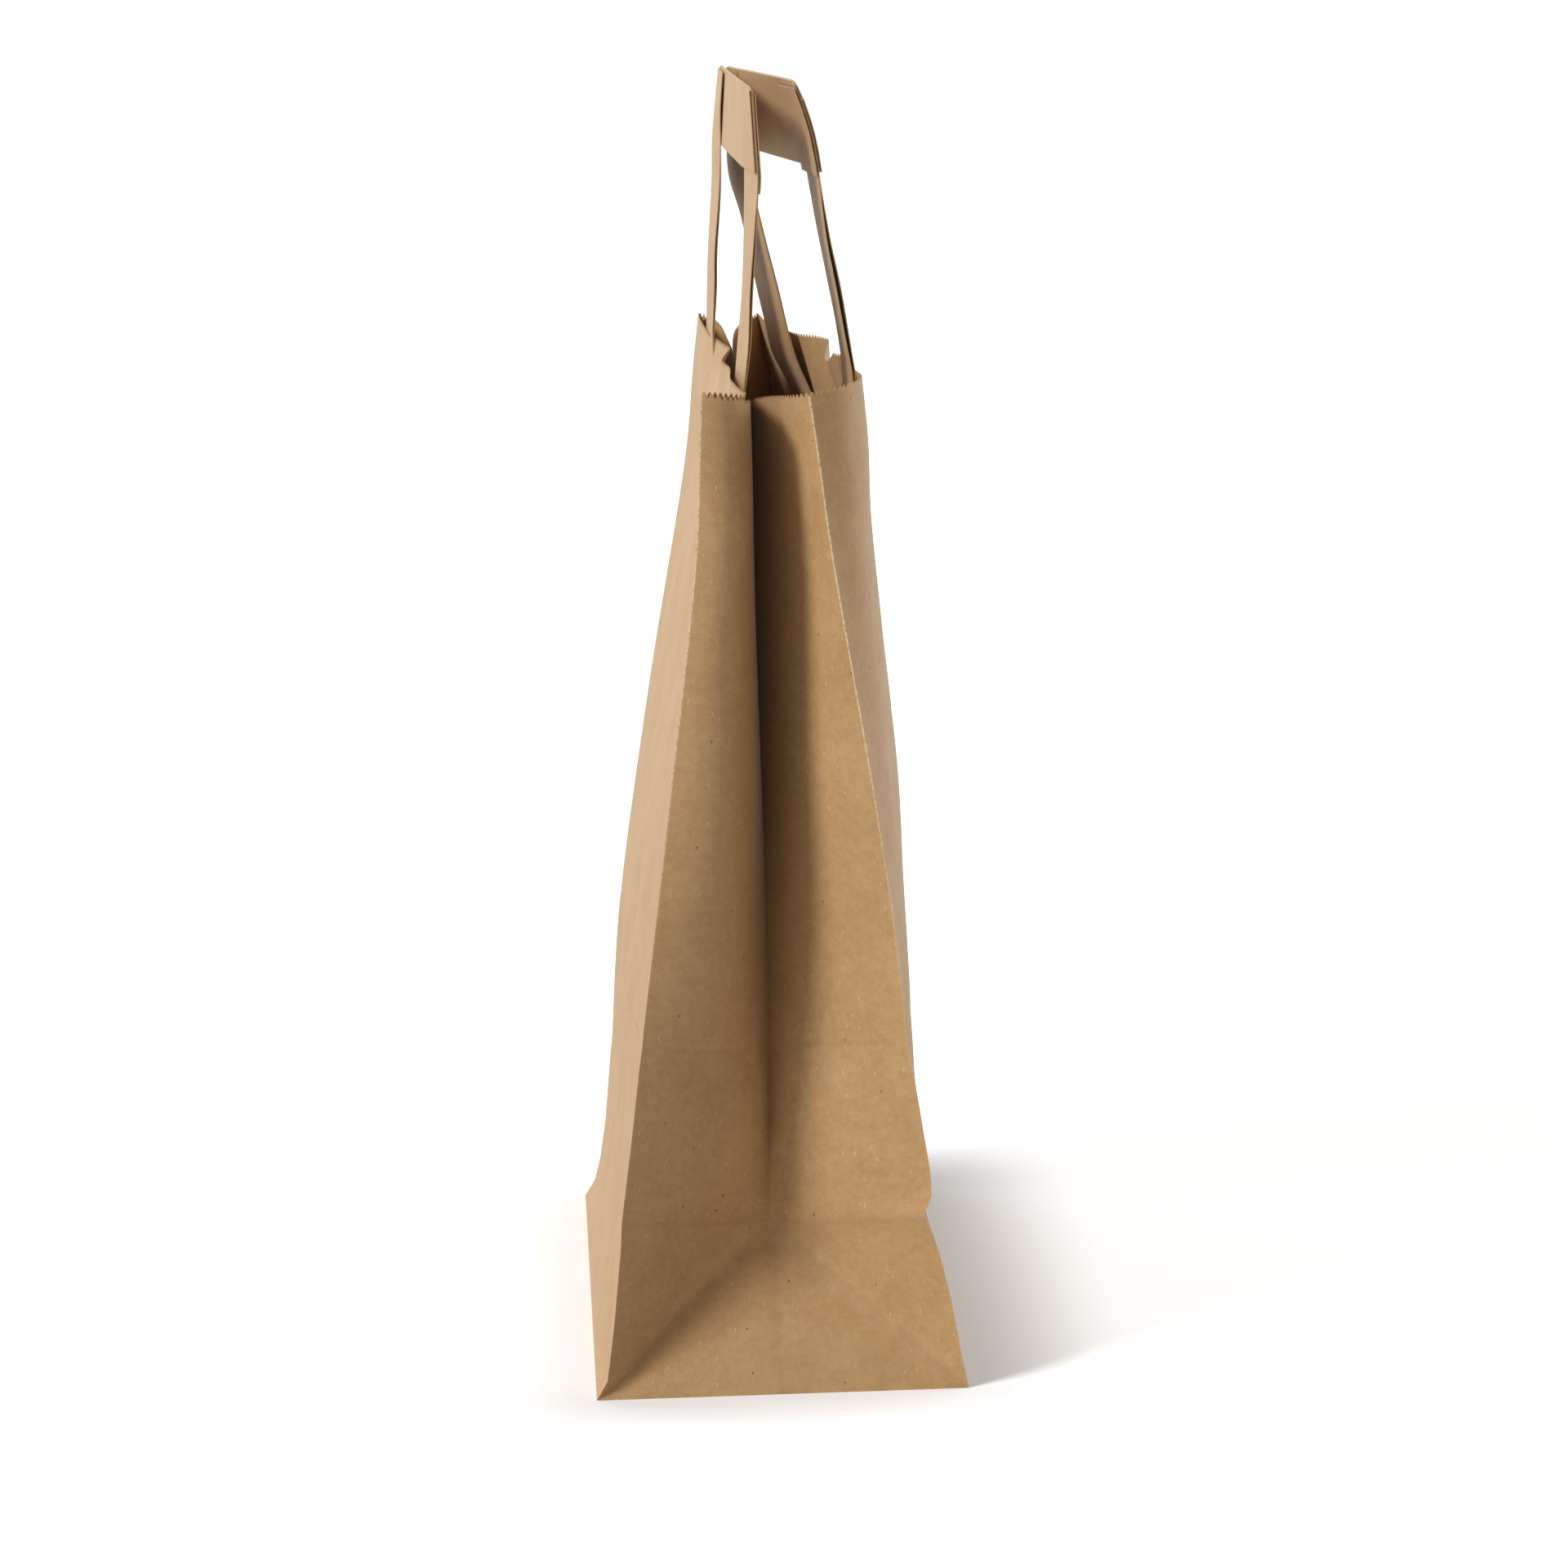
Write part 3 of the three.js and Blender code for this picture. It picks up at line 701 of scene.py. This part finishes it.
# %% [markdown]
# ## The run of a leg
#
# The foot of a leg lies on the panel that it is glued to, so we look up the panel's own shape there.
# Above the glue it bends over to its free lean, and at the grip it joins the grip's surface. The far leg
# of the left handle has slipped out of its grip, so it keeps its own lean to the top.

# %% Grip, panel and leg
PLY = 0.4
PLY_STEP = 0.46
FOOT_LENGTH = 42.0
FOOT_BEND = (8, 34)
FOOT_ROWS = 8
LEG_ROWS = 22
LEG_TOP = 0.97
GRIP_ROWS = 14
GRIP_STOPS = (0, 0.3)
PANEL_SAMPLES = 161
print("each strip has two plies of", PLY, "mm and is glued down over", FOOT_LENGTH, "mm")


def grip_point(handle, along, rise):
    """A point of the grip. Rise is 0 at its lower edge and 1 at its top."""
    low, high, top = (np.interp(along, *np.array(handle[name]).T) for name in ("lower", "upper", "top"))
    roll = handle["bulge"] * math.sin(math.pi * rise) * (GRIP_HALF - along) / (2 * GRIP_HALF)
    return np.array([mix(low, high, rise) - handle["inward"] * roll, along, mix(GRIP_FOOT, top, rise)])


def panel_row(handle, depth):
    """The wide panel at one depth under the rim, as points ordered from near to far."""
    height = np.array([PAPER_HEIGHT - depth])
    row = np.array([handle["panel"].column(share, height)[0] for share in np.linspace(0, 1, PANEL_SAMPLES)])
    return row[np.argsort(row[:, 1])]


class Leg:
    """One leg of a handle, from its glued foot to the top of the grip."""

    def __init__(self, handle, end):
        self.handle = handle
        self.inward = handle["inward"]
        self.start = LEG_NEAR_EDGES[end]
        self.depths = np.linspace(FOOT_LENGTH, 0, FOOT_ROWS)
        self.panel_rows = [panel_row(handle, depth) for depth in self.depths]
        self.opening = handle["opening"][end]
        self.is_outside = end in handle["outside"]
        self.layer = 0 if self.is_outside else 1
        self.edges = []
        for name, across in (("near", self.start), ("far", self.start + STRIP_WIDTH)):
            stops = [(x, across, z) for z, x in handle[end][name]]
            if not self.is_outside:
                stops += [grip_point(handle, across, rise) for rise in GRIP_STOPS]
            self.edges.append(through(stops))

    def lean(self, share, height):
        """Where the free leg stands across the bag at a height."""
        near, far = (np.interp(height, edge.samples[:, 2], edge.samples[:, 0]) for edge in self.edges)
        return mix(near, far, share)

    def points(self, share):
        """The outer ply at one share of the strip's width, from the foot up."""
        along = self.start + share * STRIP_WIDTH
        column = []
        for depth, row in zip(self.depths, self.panel_rows):
            x = np.interp(along, row[:, 1], row[:, 0]) + self.inward * (PAPER_WALL + PLY_STEP)
            z = np.interp(along, row[:, 1], row[:, 2])
            free = self.lean(share, z)
            column.append((mix(free, x, ease(depth, *FOOT_BEND)), along, z))
        rim = column[-1][2]
        for i in range(1, LEG_ROWS + 1):
            z = mix(rim, GRIP_FOOT, i / LEG_ROWS)
            column.append((self.lean(share, z), along, z))
        for i in range(1, GRIP_ROWS + 1):
            on_grip = grip_point(self.handle, along, LEG_TOP * i / GRIP_ROWS)
            if self.is_outside:
                on_grip[0] = self.lean(share, on_grip[2])
            column.append(tuple(on_grip))
        return np.array(column)


# %% [markdown]
# ## The plies of a handle
#
# A leg has a closed fold at its far edge and two free edges at its near one, which gape a little. In
# section it is a flat U: up one ply, round the fold and back along the other. The grip is the same U
# turned on its side, closed at the top. Each ply takes another part of the finish, so that no speck of
# bark shows twice.

# %% Legs
STRIP_COLUMNS = 12
FOLD_BULGE = 1.006
GAPE_FOOT = 425
GAPE_CURVE = 1.3
PLY_SHIFT = 300


def gape(leg, height):
    """How far the inner ply of a leg stands off the outer one at its free edge."""
    up = float(np.clip((height - GAPE_FOOT) / (GRIP_FOOT - GAPE_FOOT), 0, 1))
    return leg.opening * math.sin(math.pi * up)


def add_leg(sheet, leg):
    """Both plies of a leg and the fold between them."""
    shares = np.linspace(0, 1, STRIP_COLUMNS + 1)
    outer = [leg.points(share) for share in shares]
    section = [(share, 0.0, column) for share, column in zip(shares, outer)]
    section.append((FOLD_BULGE, 0.5, outer[-1]))
    section += [(share, 1.0, column) for share, column in zip(shares[::-1], outer[::-1])]
    points = np.empty((len(outer[0]), len(section), 3))
    flat = np.empty((len(outer[0]), len(section), 2))
    for c, (share, ply, column) in enumerate(section):
        for r, point in enumerate(column):
            stand = ply * (PLY_STEP + gape(leg, point[2]) * max(1 - share, 0) ** GAPE_CURVE)
            side = (share > 1) * (share - 1) * STRIP_WIDTH
            points[r, c] = point + np.array([leg.inward * (leg.layer * PLY_STEP + stand), side, 0])
            flat[r, c] = (point[1] + PLY_SHIFT * ply, point[2])
    sheet.surface(points, flat, is_turned=leg.inward > 0)


print("a leg has", 2 * STRIP_COLUMNS + 3, "columns")

# %% [markdown]
# ## Grip and folded end
#
# The grip's two upper corners are rounded where the paper was folded: sharply on the left handle and
# softly on the right one. Inside the near corner the end of the strip is folded back as a small tab.

# %% Grips, tabs and both handles
GRIP_COLUMNS = 68
TOP_BULGE = 1.008
GRIP_SHIFT = 700
TAB_COLUMNS = 15
TAB_ROWS = 12
TAB_TOP = 0.93
TAB_MARGIN = 1.3
TAB_INSET = 2
TAB_LAYER = 3.2
TAB_SHIFT = 1500


def add_grip(sheet, handle):
    """Both plies of the grip and the fold along its top."""
    alongs = np.linspace(-GRIP_HALF, GRIP_HALF, GRIP_COLUMNS + 1)
    rises = np.linspace(0, 1, GRIP_ROWS + 1)
    section = [(rise, 0.0) for rise in rises] + [(TOP_BULGE, 0.5)] + [(rise, 1.0) for rise in rises[::-1]]
    points = np.empty((len(section), len(alongs), 3))
    flat = np.empty((len(section), len(alongs), 2))
    radius = handle["corner"]
    for c, along in enumerate(alongs):
        inside_corner = max(radius - (GRIP_HALF - abs(along)), 0)
        drop = radius - math.sqrt(max(radius**2 - inside_corner**2, 0))
        share = 1 - drop / (np.interp(along, *np.array(handle["top"]).T) - GRIP_FOOT)
        for r, (rise, ply) in enumerate(section):
            points[r, c] = grip_point(handle, along, rise * share)
            points[r, c, 0] += handle["inward"] * (ply - 1) * PLY_STEP
            flat[r, c] = (along + GRIP_SHIFT * ply, points[r, c, 2])
    sheet.surface(points, flat, is_turned=handle["inward"] < 0)


def add_tab(sheet, leg):
    """The end of the strip, folded back over the inside of the near corner."""
    handle = leg.handle
    alongs = np.linspace(leg.start - TAB_MARGIN, leg.start + STRIP_WIDTH - TAB_INSET, TAB_COLUMNS)
    points = np.empty((TAB_ROWS, TAB_COLUMNS, 3))
    for r, height in enumerate(np.linspace(-handle["tab"], TAB_TOP, TAB_ROWS)):
        for c, along in enumerate(alongs):
            share = (along - leg.start) / STRIP_WIDTH
            if height < 0:
                z = GRIP_FOOT + height
                points[r, c] = (leg.lean(share, z), along, z)
            else:
                points[r, c] = grip_point(handle, along, height)
            points[r, c, 0] += leg.inward * (TAB_LAYER * PLY_STEP + handle["tab_lift"] * share)
    flat = points[:, :, 1:] + TAB_SHIFT
    sheet.surface(points, flat, is_turned=leg.inward > 0)


handle_pieces = {}
for side, handle in HANDLES.items():
    sheet = Sheet()
    add_grip(sheet, handle)
    for end in LEG_NEAR_EDGES:
        leg = Leg(handle, end)
        add_leg(sheet, leg)
        if end == "near":
            add_tab(sheet, leg)
    handle_pieces[side] = sheet.make(f"{side}_handle_paper", PLY)

# %% [markdown]
# ## Shader maths as plain sums
#
# A finish is a long chain of small sums. Instead of placing Math nodes one by one, we wrap a socket in a
# class whose operators add the nodes, so that a mask reads as it would on paper.

# %% A socket that can be added and multiplied


def sum_of(operation, is_reflected=False):
    """A method that adds one Math node, with its socket first or, when reflected, last."""

    def method(self, other):
        return self.maths(operation, *((other, self) if is_reflected else (self, other)))

    return method


class Socket:
    """One output of a shader node. Sums with it become Math nodes in the same material."""

    def __init__(self, recipe, output):
        self.recipe, self.output = recipe, output

    def maths(self, operation, *values):
        return self.recipe.node("ShaderNodeMath", {"operation": operation}, dict(enumerate(values)))

    def __abs__(self):
        return self.maths("ABSOLUTE", self)

    __add__, __radd__ = sum_of("ADD"), sum_of("ADD", True)
    __sub__, __rsub__ = sum_of("SUBTRACT"), sum_of("SUBTRACT", True)
    __mul__, __rmul__ = sum_of("MULTIPLY"), sum_of("MULTIPLY", True)
    __truediv__, __pow__ = sum_of("DIVIDE"), sum_of("POWER")
    least, most, over = sum_of("MINIMUM"), sum_of("MAXIMUM"), sum_of("GREATER_THAN")


print("a socket knows", sum(callable(member) for member in vars(Socket).values()), "methods")

# %% [markdown]
# ## Recipes
#
# Every other node comes from one method, which takes the node's type, its settings and the values or
# links of its sockets. On top of it stand a few ingredients that the finishes share: a smooth fade, a mix
# of two colours, noise that is sized in millimetres, and scattered spots.

# %% The node tree of a finish


class Recipe:
    """The node tree of one material, or of the world."""

    def __init__(self, owner):
        self.owner = owner
        owner.use_nodes = True
        self.tree = owner.node_tree
        self.tree.nodes.clear()

    def node(self, kind, settings=None, inputs=None, output=0):
        """Add one node: its settings first, then the values or links of its sockets."""
        made = self.tree.nodes.new(kind)
        for name, value in (settings or {}).items():
            setattr(made, name, value)
        for name, value in (inputs or {}).items():
            if isinstance(value, Socket):
                self.tree.links.new(value.output, made.inputs[name])
            else:
                made.inputs[name].default_value = value
        return Socket(self, made.outputs[output]) if made.outputs else None

    def fade(self, value, start, end):
        """0 where the value is at the start, 1 where it is at the end, smooth between."""
        settings = {"interpolation_type": "SMOOTHSTEP"}
        return self.node("ShaderNodeMapRange", settings, {"Value": value, "From Min": start, "From Max": end})

    def blend(self, factor, first, second):
        """Mix two colours."""
        inputs = {0: factor, 6: first, 7: second}
        return self.node("ShaderNodeMix", {"data_type": "RGBA"}, inputs, output=2)

    def stretch(self, vector, scale, turn=0.0, shift=(0, 0, 0)):
        """Turn, shift and scale a sheet coordinate."""
        inputs = {"Vector": vector, "Scale": scale, "Rotation": (0, 0, turn), "Location": shift}
        return self.node("ShaderNodeMapping", None, inputs)

    def noise(self, vector, size, detail=2.0, roughness=0.5):
        """Soft noise whose clouds are about as wide as the given size in millimetres."""
        inputs = {"Vector": vector, "Scale": 1 / size, "Detail": detail, "Roughness": roughness}
        return self.node("ShaderNodeTexNoise", None, inputs)

    def spots(self, vector, spacing, radius, share):
        """Scattered spots, kept in only a share of their cells."""
        settings = {"voronoi_dimensions": "2D"}
        inputs = {"Vector": vector, "Scale": 1 / spacing}
        away = self.node("ShaderNodeTexVoronoi", settings, inputs, output="Distance") * spacing
        tint = self.node("ShaderNodeTexVoronoi", settings, inputs, output="Color")
        chance = self.node("ShaderNodeSeparateColor", None, {0: tint})
        return (1 - self.fade(away, radius * 0.5, radius)) * chance.over(1 - share)


print("recipes can use", ", ".join(name for name in vars(Recipe) if name[0] != "_"))

# %% [markdown]
# ## Kraft paper
#
# Unbleached kraft is a tan felt of wood fibres. Close up it has soft clouds where the pulp lay thicker,
# a fine grain, faint upright streaks from the paper machine, a few dark specks of bark and short pale
# fibres. Painted shade darkens the folds, and a painted highlight pales the corner edges. An image could
# be wrapped round it, but noise in the stored sheet coordinate lies in the paper, bends with it and stays
# sharp from close by.

# %% The finish of brown kraft
KRAFT = (0.42, 0.248, 0.104, 1)
KRAFT_PALE = (0.535, 0.35, 0.172, 1)
KRAFT_DARK = (0.31, 0.168, 0.06, 1)
BARK = (0.085, 0.045, 0.02, 1)
PALE_FIBRE = (0.80, 0.66, 0.46, 1)
# Pale colour of the painted highlight on the corner edges.
EDGE_HIGHLIGHT = (0.72, 0.54, 0.35, 1)
# Dark colour of the painted shade along the folds and down the gusset valley.
PAINTED_SHADE = (0.21, 0.105, 0.035, 1)
SHEEN = 0.12
SHEEN_TINT = (0.9, 0.94, 1, 1)
BUMP_HEIGHT = 0.0003
# The layers of the felt: squash, turn, size in millimetres, detail, roughness, share of the tone.
FELT = {
    "clouds": (1, 0, 34, 3, 0.5, 0.5), "patches": (1, 0, 11, 2, 0.5, 0.4), "flocks": (1, 0, 3.6, 3, 0.6, 0.7),
    "streaks": (0.035, 0, 1.1, 2, 0.5, 0.12), "grain": (1, 0, 0.45, 2, 0.7, 0.7),
    "threads": (0.28, 0.5, 0.5, 2, 0.5, 0.5),
}
# The specks in it: squash, turn, shift, spacing, radius, share of the cells that hold one.
FIBRES = [(0.13, 0.35, (0, 0, 0), 3.4, 0.16, 0.16), (0.12, 1.35, (9, 4, 0), 4.0, 0.15, 0.13),
          (0.14, -0.7, (3, 17, 0), 4.3, 0.15, 0.13)]
BARK_SPECKS = [(0.6, 0, (0, 0, 0), 19.0, 0.5, 0.35)]
DUST = [(0.5, 0.8, (0, 0, 0), 6.5, 0.22, 0.3)]


def kraft(name, folds=None):
    """Kraft paper. Paper with folds also gets painted shade along them and a painted highlight on its edges.
    """
    recipe = Recipe(bpy.data.materials.new(name))
    sheet = recipe.node("ShaderNodeAttribute", {"attribute_name": "sheet"}, output="Vector")
    layers, tone = {}, 0.5
    for layer, (squash, turn, size, detail, roughness, share) in FELT.items():
        layers[layer] = recipe.noise(recipe.stretch(sheet, (1, squash, 1), turn), size, detail, roughness)
        tone = tone + (layers[layer] - 0.5) * share
    color = recipe.blend(recipe.fade(tone, 0.05, 0.95), KRAFT_DARK, KRAFT_PALE)
    color = recipe.blend(0.45, color, KRAFT)

    drift = recipe.node("ShaderNodeTexNoise", None, {"Vector": sheet, "Scale": 0.35}, "Color")
    wander = recipe.node("ShaderNodeVectorMath", {"operation": "MULTIPLY_ADD"},
                         {0: drift, 1: (1.6, 1.6, 0), 2: sheet})
    fibres, bark, dust = (
        reduce(Socket.most, [recipe.spots(recipe.stretch(wander, (1, squash, 1), turn, shift), *spots)
                             for squash, turn, shift, *spots in specks])
        for specks in (FIBRES, BARK_SPECKS, DUST)
    )
    color = recipe.blend(fibres * 0.55, color, PALE_FIBRE)
    color = recipe.blend((bark * 0.85).most(dust * 0.4), color, BARK)
    if folds:
        # Painted shade along the folds and a painted highlight on the corner edges.
        edge, painted_shade, painted_highlight = folds(recipe, sheet)
        broken = recipe.fade(recipe.noise(sheet, 1.6, 2), 0.25, 0.6)
        color = recipe.blend(painted_shade, color, PAINTED_SHADE)
        # Painted highlight along the corner edges, broken up by noise.
        color = recipe.blend((1 - recipe.fade(edge, 0.2, 0.9)) * broken * painted_highlight, color, EDGE_HIGHLIGHT)

    flocks, grain = layers["flocks"], layers["grain"]
    height = flocks * 0.4 + grain * 0.22 + layers["threads"] * 0.2 + fibres * 0.5
    bump = recipe.node("ShaderNodeBump", None, {"Strength": 0.35, "Distance": BUMP_HEIGHT, "Height": height})
    rough = 0.6 + (flocks - 0.5) * 0.2 + (grain - 0.5) * 0.1
    skin = recipe.node("ShaderNodeBsdfPrincipled", None,
                       {"Base Color": color, "Roughness": rough, "Normal": bump, "Specular IOR Level": 0.35,
                        "Sheen Weight": SHEEN, "Sheen Roughness": 0.35, "Sheen Tint": SHEEN_TINT})
    recipe.node("ShaderNodeOutputMaterial", None, {"Surface": skin})
    print(name, "has", len(recipe.tree.nodes), "nodes")
    return recipe.owner


strip_finish = kraft("kraft strip")
for piece in handle_pieces.values():
    piece.data.materials.append(strip_finish)

# %% [markdown]
# ## Painted shade on the folds and a painted highlight on the edges
#
# On the flat sheet every fold is a straight line at a known place, so the finish of the bag can measure
# how far each point lies from it. Painted shade darkens the paper under and over the slanting creases,
# along the two creases that run all round, and down the middle of each gusset, widest in the deep valley
# of its upper part. The four corner edges get a pale painted highlight, stronger towards the top.

# %% Folds of the bag, as distances on the flat sheet
# Painted shade along the folds: the strength and the reach in millimetres of each darkened band.
PAINTED_FOLD_SHADES = {
    "under the slant": (0.3, 9), "over the slant": (0.2, 3), "middle fold": (0.16, 4),
    "flat crease": (0.16, 2.2), "crease line": (0.14, 3),
}
CREASE_LINE_DROP = 2
# Painted shade down the deep gusset valley above the crease line.
VALLEY_SHADE = 0.6
VALLEY_WIDTHS = (8, 64)
VALLEY_SPREAD = (105, 280)
VALLEY_RISE = (85, 150)
# The painted highlight on the corner edges grows over these heights.
HIGHLIGHT_RISE = (150, 350)


def bag_folds(recipe, sheet):
    """The distance to the nearest corner edge, the painted shade of the folds, and the strength of the
    painted edge highlight.
    """
    round_tube, up_paper = (recipe.node("ShaderNodeSeparateXYZ", None, {0: sheet}, output=i) for i in (0, 1))

    def mark(kind, distance):
        strength, reach = PAINTED_FOLD_SHADES[kind]
        return (1 - recipe.fade(distance, 0, reach)) * strength

    whole = STARTS[-1]
    edge = abs(round_tube - STARTS[3])
    for corner in (STARTS[5], whole, whole + STARTS[2]):
        edge = edge.least(abs(round_tube - corner))
    off_fold = abs(round_tube - STARTS[4]).least(abs(round_tube - whole - STARTS[1]))
    under_slant = (CREASE_HEIGHT - off_fold - up_paper) / math.sqrt(2)
    is_under = under_slant.over(0)
    slant = mark("under the slant", under_slant) * is_under
    slant = slant + mark("over the slant", under_slant * -1) * (1 - is_under)
    slant = slant * recipe.fade(HALF_WIDTH - off_fold, 0, 4)
    fold = mark("middle fold", off_fold) * (1 - (up_paper - CREASE_HEIGHT).over(0))
    line = mark("flat crease", abs(up_paper - FLAT_CREASE_HEIGHT))
    line = line.most(mark("crease line", abs(up_paper - CREASE_HEIGHT + CREASE_LINE_DROP)))
    patchy = recipe.fade(recipe.noise(sheet, 14, 2), 0.2, 0.6)
    narrow, wide = VALLEY_WIDTHS
    depth = narrow + recipe.fade(up_paper, *VALLEY_SPREAD) * (wide - narrow)
    # Painted shade down the middle of each gusset, widening upward into its deep valley.
    valley = (1 - recipe.fade(off_fold / depth, 0, 1)) * recipe.fade(up_paper, *VALLEY_RISE) * VALLEY_SHADE
    painted_shade = (slant.most(fold).most(line) * patchy).most(valley)
    # The last value is the strength of the painted highlight on the corner edges.
    return edge, painted_shade, 0.1 + recipe.fade(up_paper, *HIGHLIGHT_RISE) * 0.9


bag.data.materials.append(kraft("kraft sheet", bag_folds))

# %% [markdown]
# ## Fixing the pieces to the model
#
# Each paper piece stands for one plain solid of the model and stays where that solid is. Nothing on the
# bag moves by itself, so all three ride on the one body.

# %% Ride and replace
for piece, node, slot in (
    (bag, "bag_body", "kraft_sheet"),
    (handle_pieces["left"], "left_handle", "kraft_strip"),
    (handle_pieces["right"], "right_handle", "kraft_strip"),
):
    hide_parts(node)
    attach(piece, "root")
    print(piece.name, "stands for", node)

# %% [markdown]
# ## The camera
#
# The photograph was taken from in front of the near gusset, a little from the left and from above, with
# a long lens. The place, the turn and the focal length come from the outline corners of the bag. A
# camera here wants its lens in millimetres, so we turn the focal length in pixels into one.

# %% Camera at the photograph's view
FRAME_PIXELS = 1920.0
FOCAL_PIXELS = 6046.3
SENSOR = 36.0
CAMERA_PLACE = Vector((-101.5, -2240.9, 709.6))
CAMERA_YAW = 0.0512
CAMERA_PITCH = 0.20534
CAMERA_ROLL = -0.01797

cos_pitch = math.cos(CAMERA_PITCH)
ahead = Vector((math.sin(CAMERA_YAW) * cos_pitch, math.cos(CAMERA_YAW) * cos_pitch, -math.sin(CAMERA_PITCH)))
level = Vector((math.cos(CAMERA_YAW), -math.sin(CAMERA_YAW), 0))
upright = level.cross(ahead)
right = level * math.cos(CAMERA_ROLL) + upright * math.sin(CAMERA_ROLL)
top = upright * math.cos(CAMERA_ROLL) - level * math.sin(CAMERA_ROLL)
camera_data = bpy.data.cameras.new("camera")
camera_data.sensor_width = SENSOR
camera_data.lens = FOCAL_PIXELS / FRAME_PIXELS * SENSOR
camera_data.clip_end = 50
camera = bpy.data.objects.new("camera", camera_data)
turn = Matrix((right, top, -ahead)).transposed().to_4x4()
camera.matrix_world = Matrix.Translation(CAMERA_PLACE * MM) @ turn
bpy.context.scene.collection.objects.link(camera)
bpy.context.scene.camera = camera
print("lens", round(camera_data.lens, 1), "mm")

# %% [markdown]
# ## The floor
#
# The studio is white all round, and only a short shadow lies beside the bag. The floor is a white sheet
# with a little light of its own, seen only by the camera, that lifts it to the white of the backdrop.
# That light grows with the distance from the base, so the shadow stays dark near the bag and fades out.

# %% Floor
FLOOR_HALF = 6.0
FLOOR_WHITE = (0.85, 0.85, 0.85, 1)
WHITE = (1, 1, 1, 1)
BLACK = (0, 0, 0, 1)
NEAR_LIGHT = 0.12
FAR_LIGHT = 0.62
LIGHT_REACH = 0.09

floor_mesh = bpy.data.meshes.new("floor")
floor_corners = [(x * FLOOR_HALF, y * FLOOR_HALF, 0) for x, y in ((-1, -1), (1, -1), (1, 1), (-1, 1))]
floor_mesh.from_pydata(floor_corners, [], [(0, 1, 2, 3)])
floor = bpy.data.objects.new("floor", floor_mesh)
bpy.context.scene.collection.objects.link(floor)
ground = Recipe(bpy.data.materials.new("floor white"))
seen = ground.node("ShaderNodeLightPath", output="Is Camera Ray")
spot = ground.node("ShaderNodeTexCoord", output="Object")
beside, before = (ground.node("ShaderNodeSeparateXYZ", None, {0: spot}, output=i) for i in (0, 1))
beside = (abs(beside) - HALF_WIDTH * MM).most(0)
before = (abs(before) - HALF_LENGTH * MM).most(0)
away = (beside * beside + before * before) ** 0.5
own_light = seen * (ground.fade(away, 0, LIGHT_REACH) * (FAR_LIGHT - NEAR_LIGHT) + NEAR_LIGHT)
matt = ground.node("ShaderNodeBsdfDiffuse", None, {"Color": FLOOR_WHITE})
glow = ground.node("ShaderNodeEmission", None, {"Color": ground.blend(own_light, BLACK, WHITE)})
both = ground.node("ShaderNodeAddShader", None, {0: matt, 1: glow})
ground.node("ShaderNodeOutputMaterial", None, {"Surface": both})
floor_mesh.materials.append(ground.owner)
print("floor", 2 * FLOOR_HALF, "m wide")

# %% [markdown]
# ## Sky and lamps
#
# Sun lamps shine evenly from one direction, so a place only says where their light comes from, and the
# spread says how soft its shadow is. The key lamp, high on the left, makes the left panel bright and
# throws the shadow to the right. The front lamp opens the shade in the gusset, and the side and rear
# lamps do the same for the right panel and the back. The sky adds almost nothing to that, and is white
# for the camera and in gloss.

# %% Sky and lamps
SKY_LIGHT = 0.02
LAMPS = {
    "key lamp": {"from": (-1.0, -0.5, 0.85), "strength": 3.0, "spread": 16},
    "front lamp": {"from": (-0.4, -0.9, 0.35), "strength": 0.36, "spread": 60},
    "side lamp": {"from": (0.9, 0.35, 0.25), "strength": 2.0, "spread": 60},
    "rear lamp": {"from": (-0.25, 0.9, 0.5), "strength": 1.3, "spread": 90},
}

sky = Recipe(bpy.data.worlds.new("studio"))
direct, in_gloss = (sky.node("ShaderNodeLightPath", output=f"Is {ray} Ray") for ray in ("Camera", "Glossy"))
shown = {"Value": direct.most(in_gloss), "To Min": SKY_LIGHT, "To Max": 1.0}
strength = sky.node("ShaderNodeMapRange", None, shown)
background = sky.node("ShaderNodeBackground", None, {"Color": WHITE, "Strength": strength})
sky.node("ShaderNodeOutputWorld", None, {"Surface": background})
bpy.context.scene.world = sky.owner

for name, setting in LAMPS.items():
    lamp_data = bpy.data.lights.new(name, "SUN")
    lamp_data.energy = setting["strength"]
    lamp_data.angle = math.radians(setting["spread"])
    lamp = bpy.data.objects.new(name, lamp_data)
    lamp.location = Vector(setting["from"])
    lamp.rotation_euler = lamp.location.to_track_quat("Z", "Y").to_euler()
    bpy.context.scene.collection.objects.link(lamp)
bpy.context.scene.view_settings.view_transform = "Standard"
print(len(LAMPS), "lamps")

# %% [markdown]
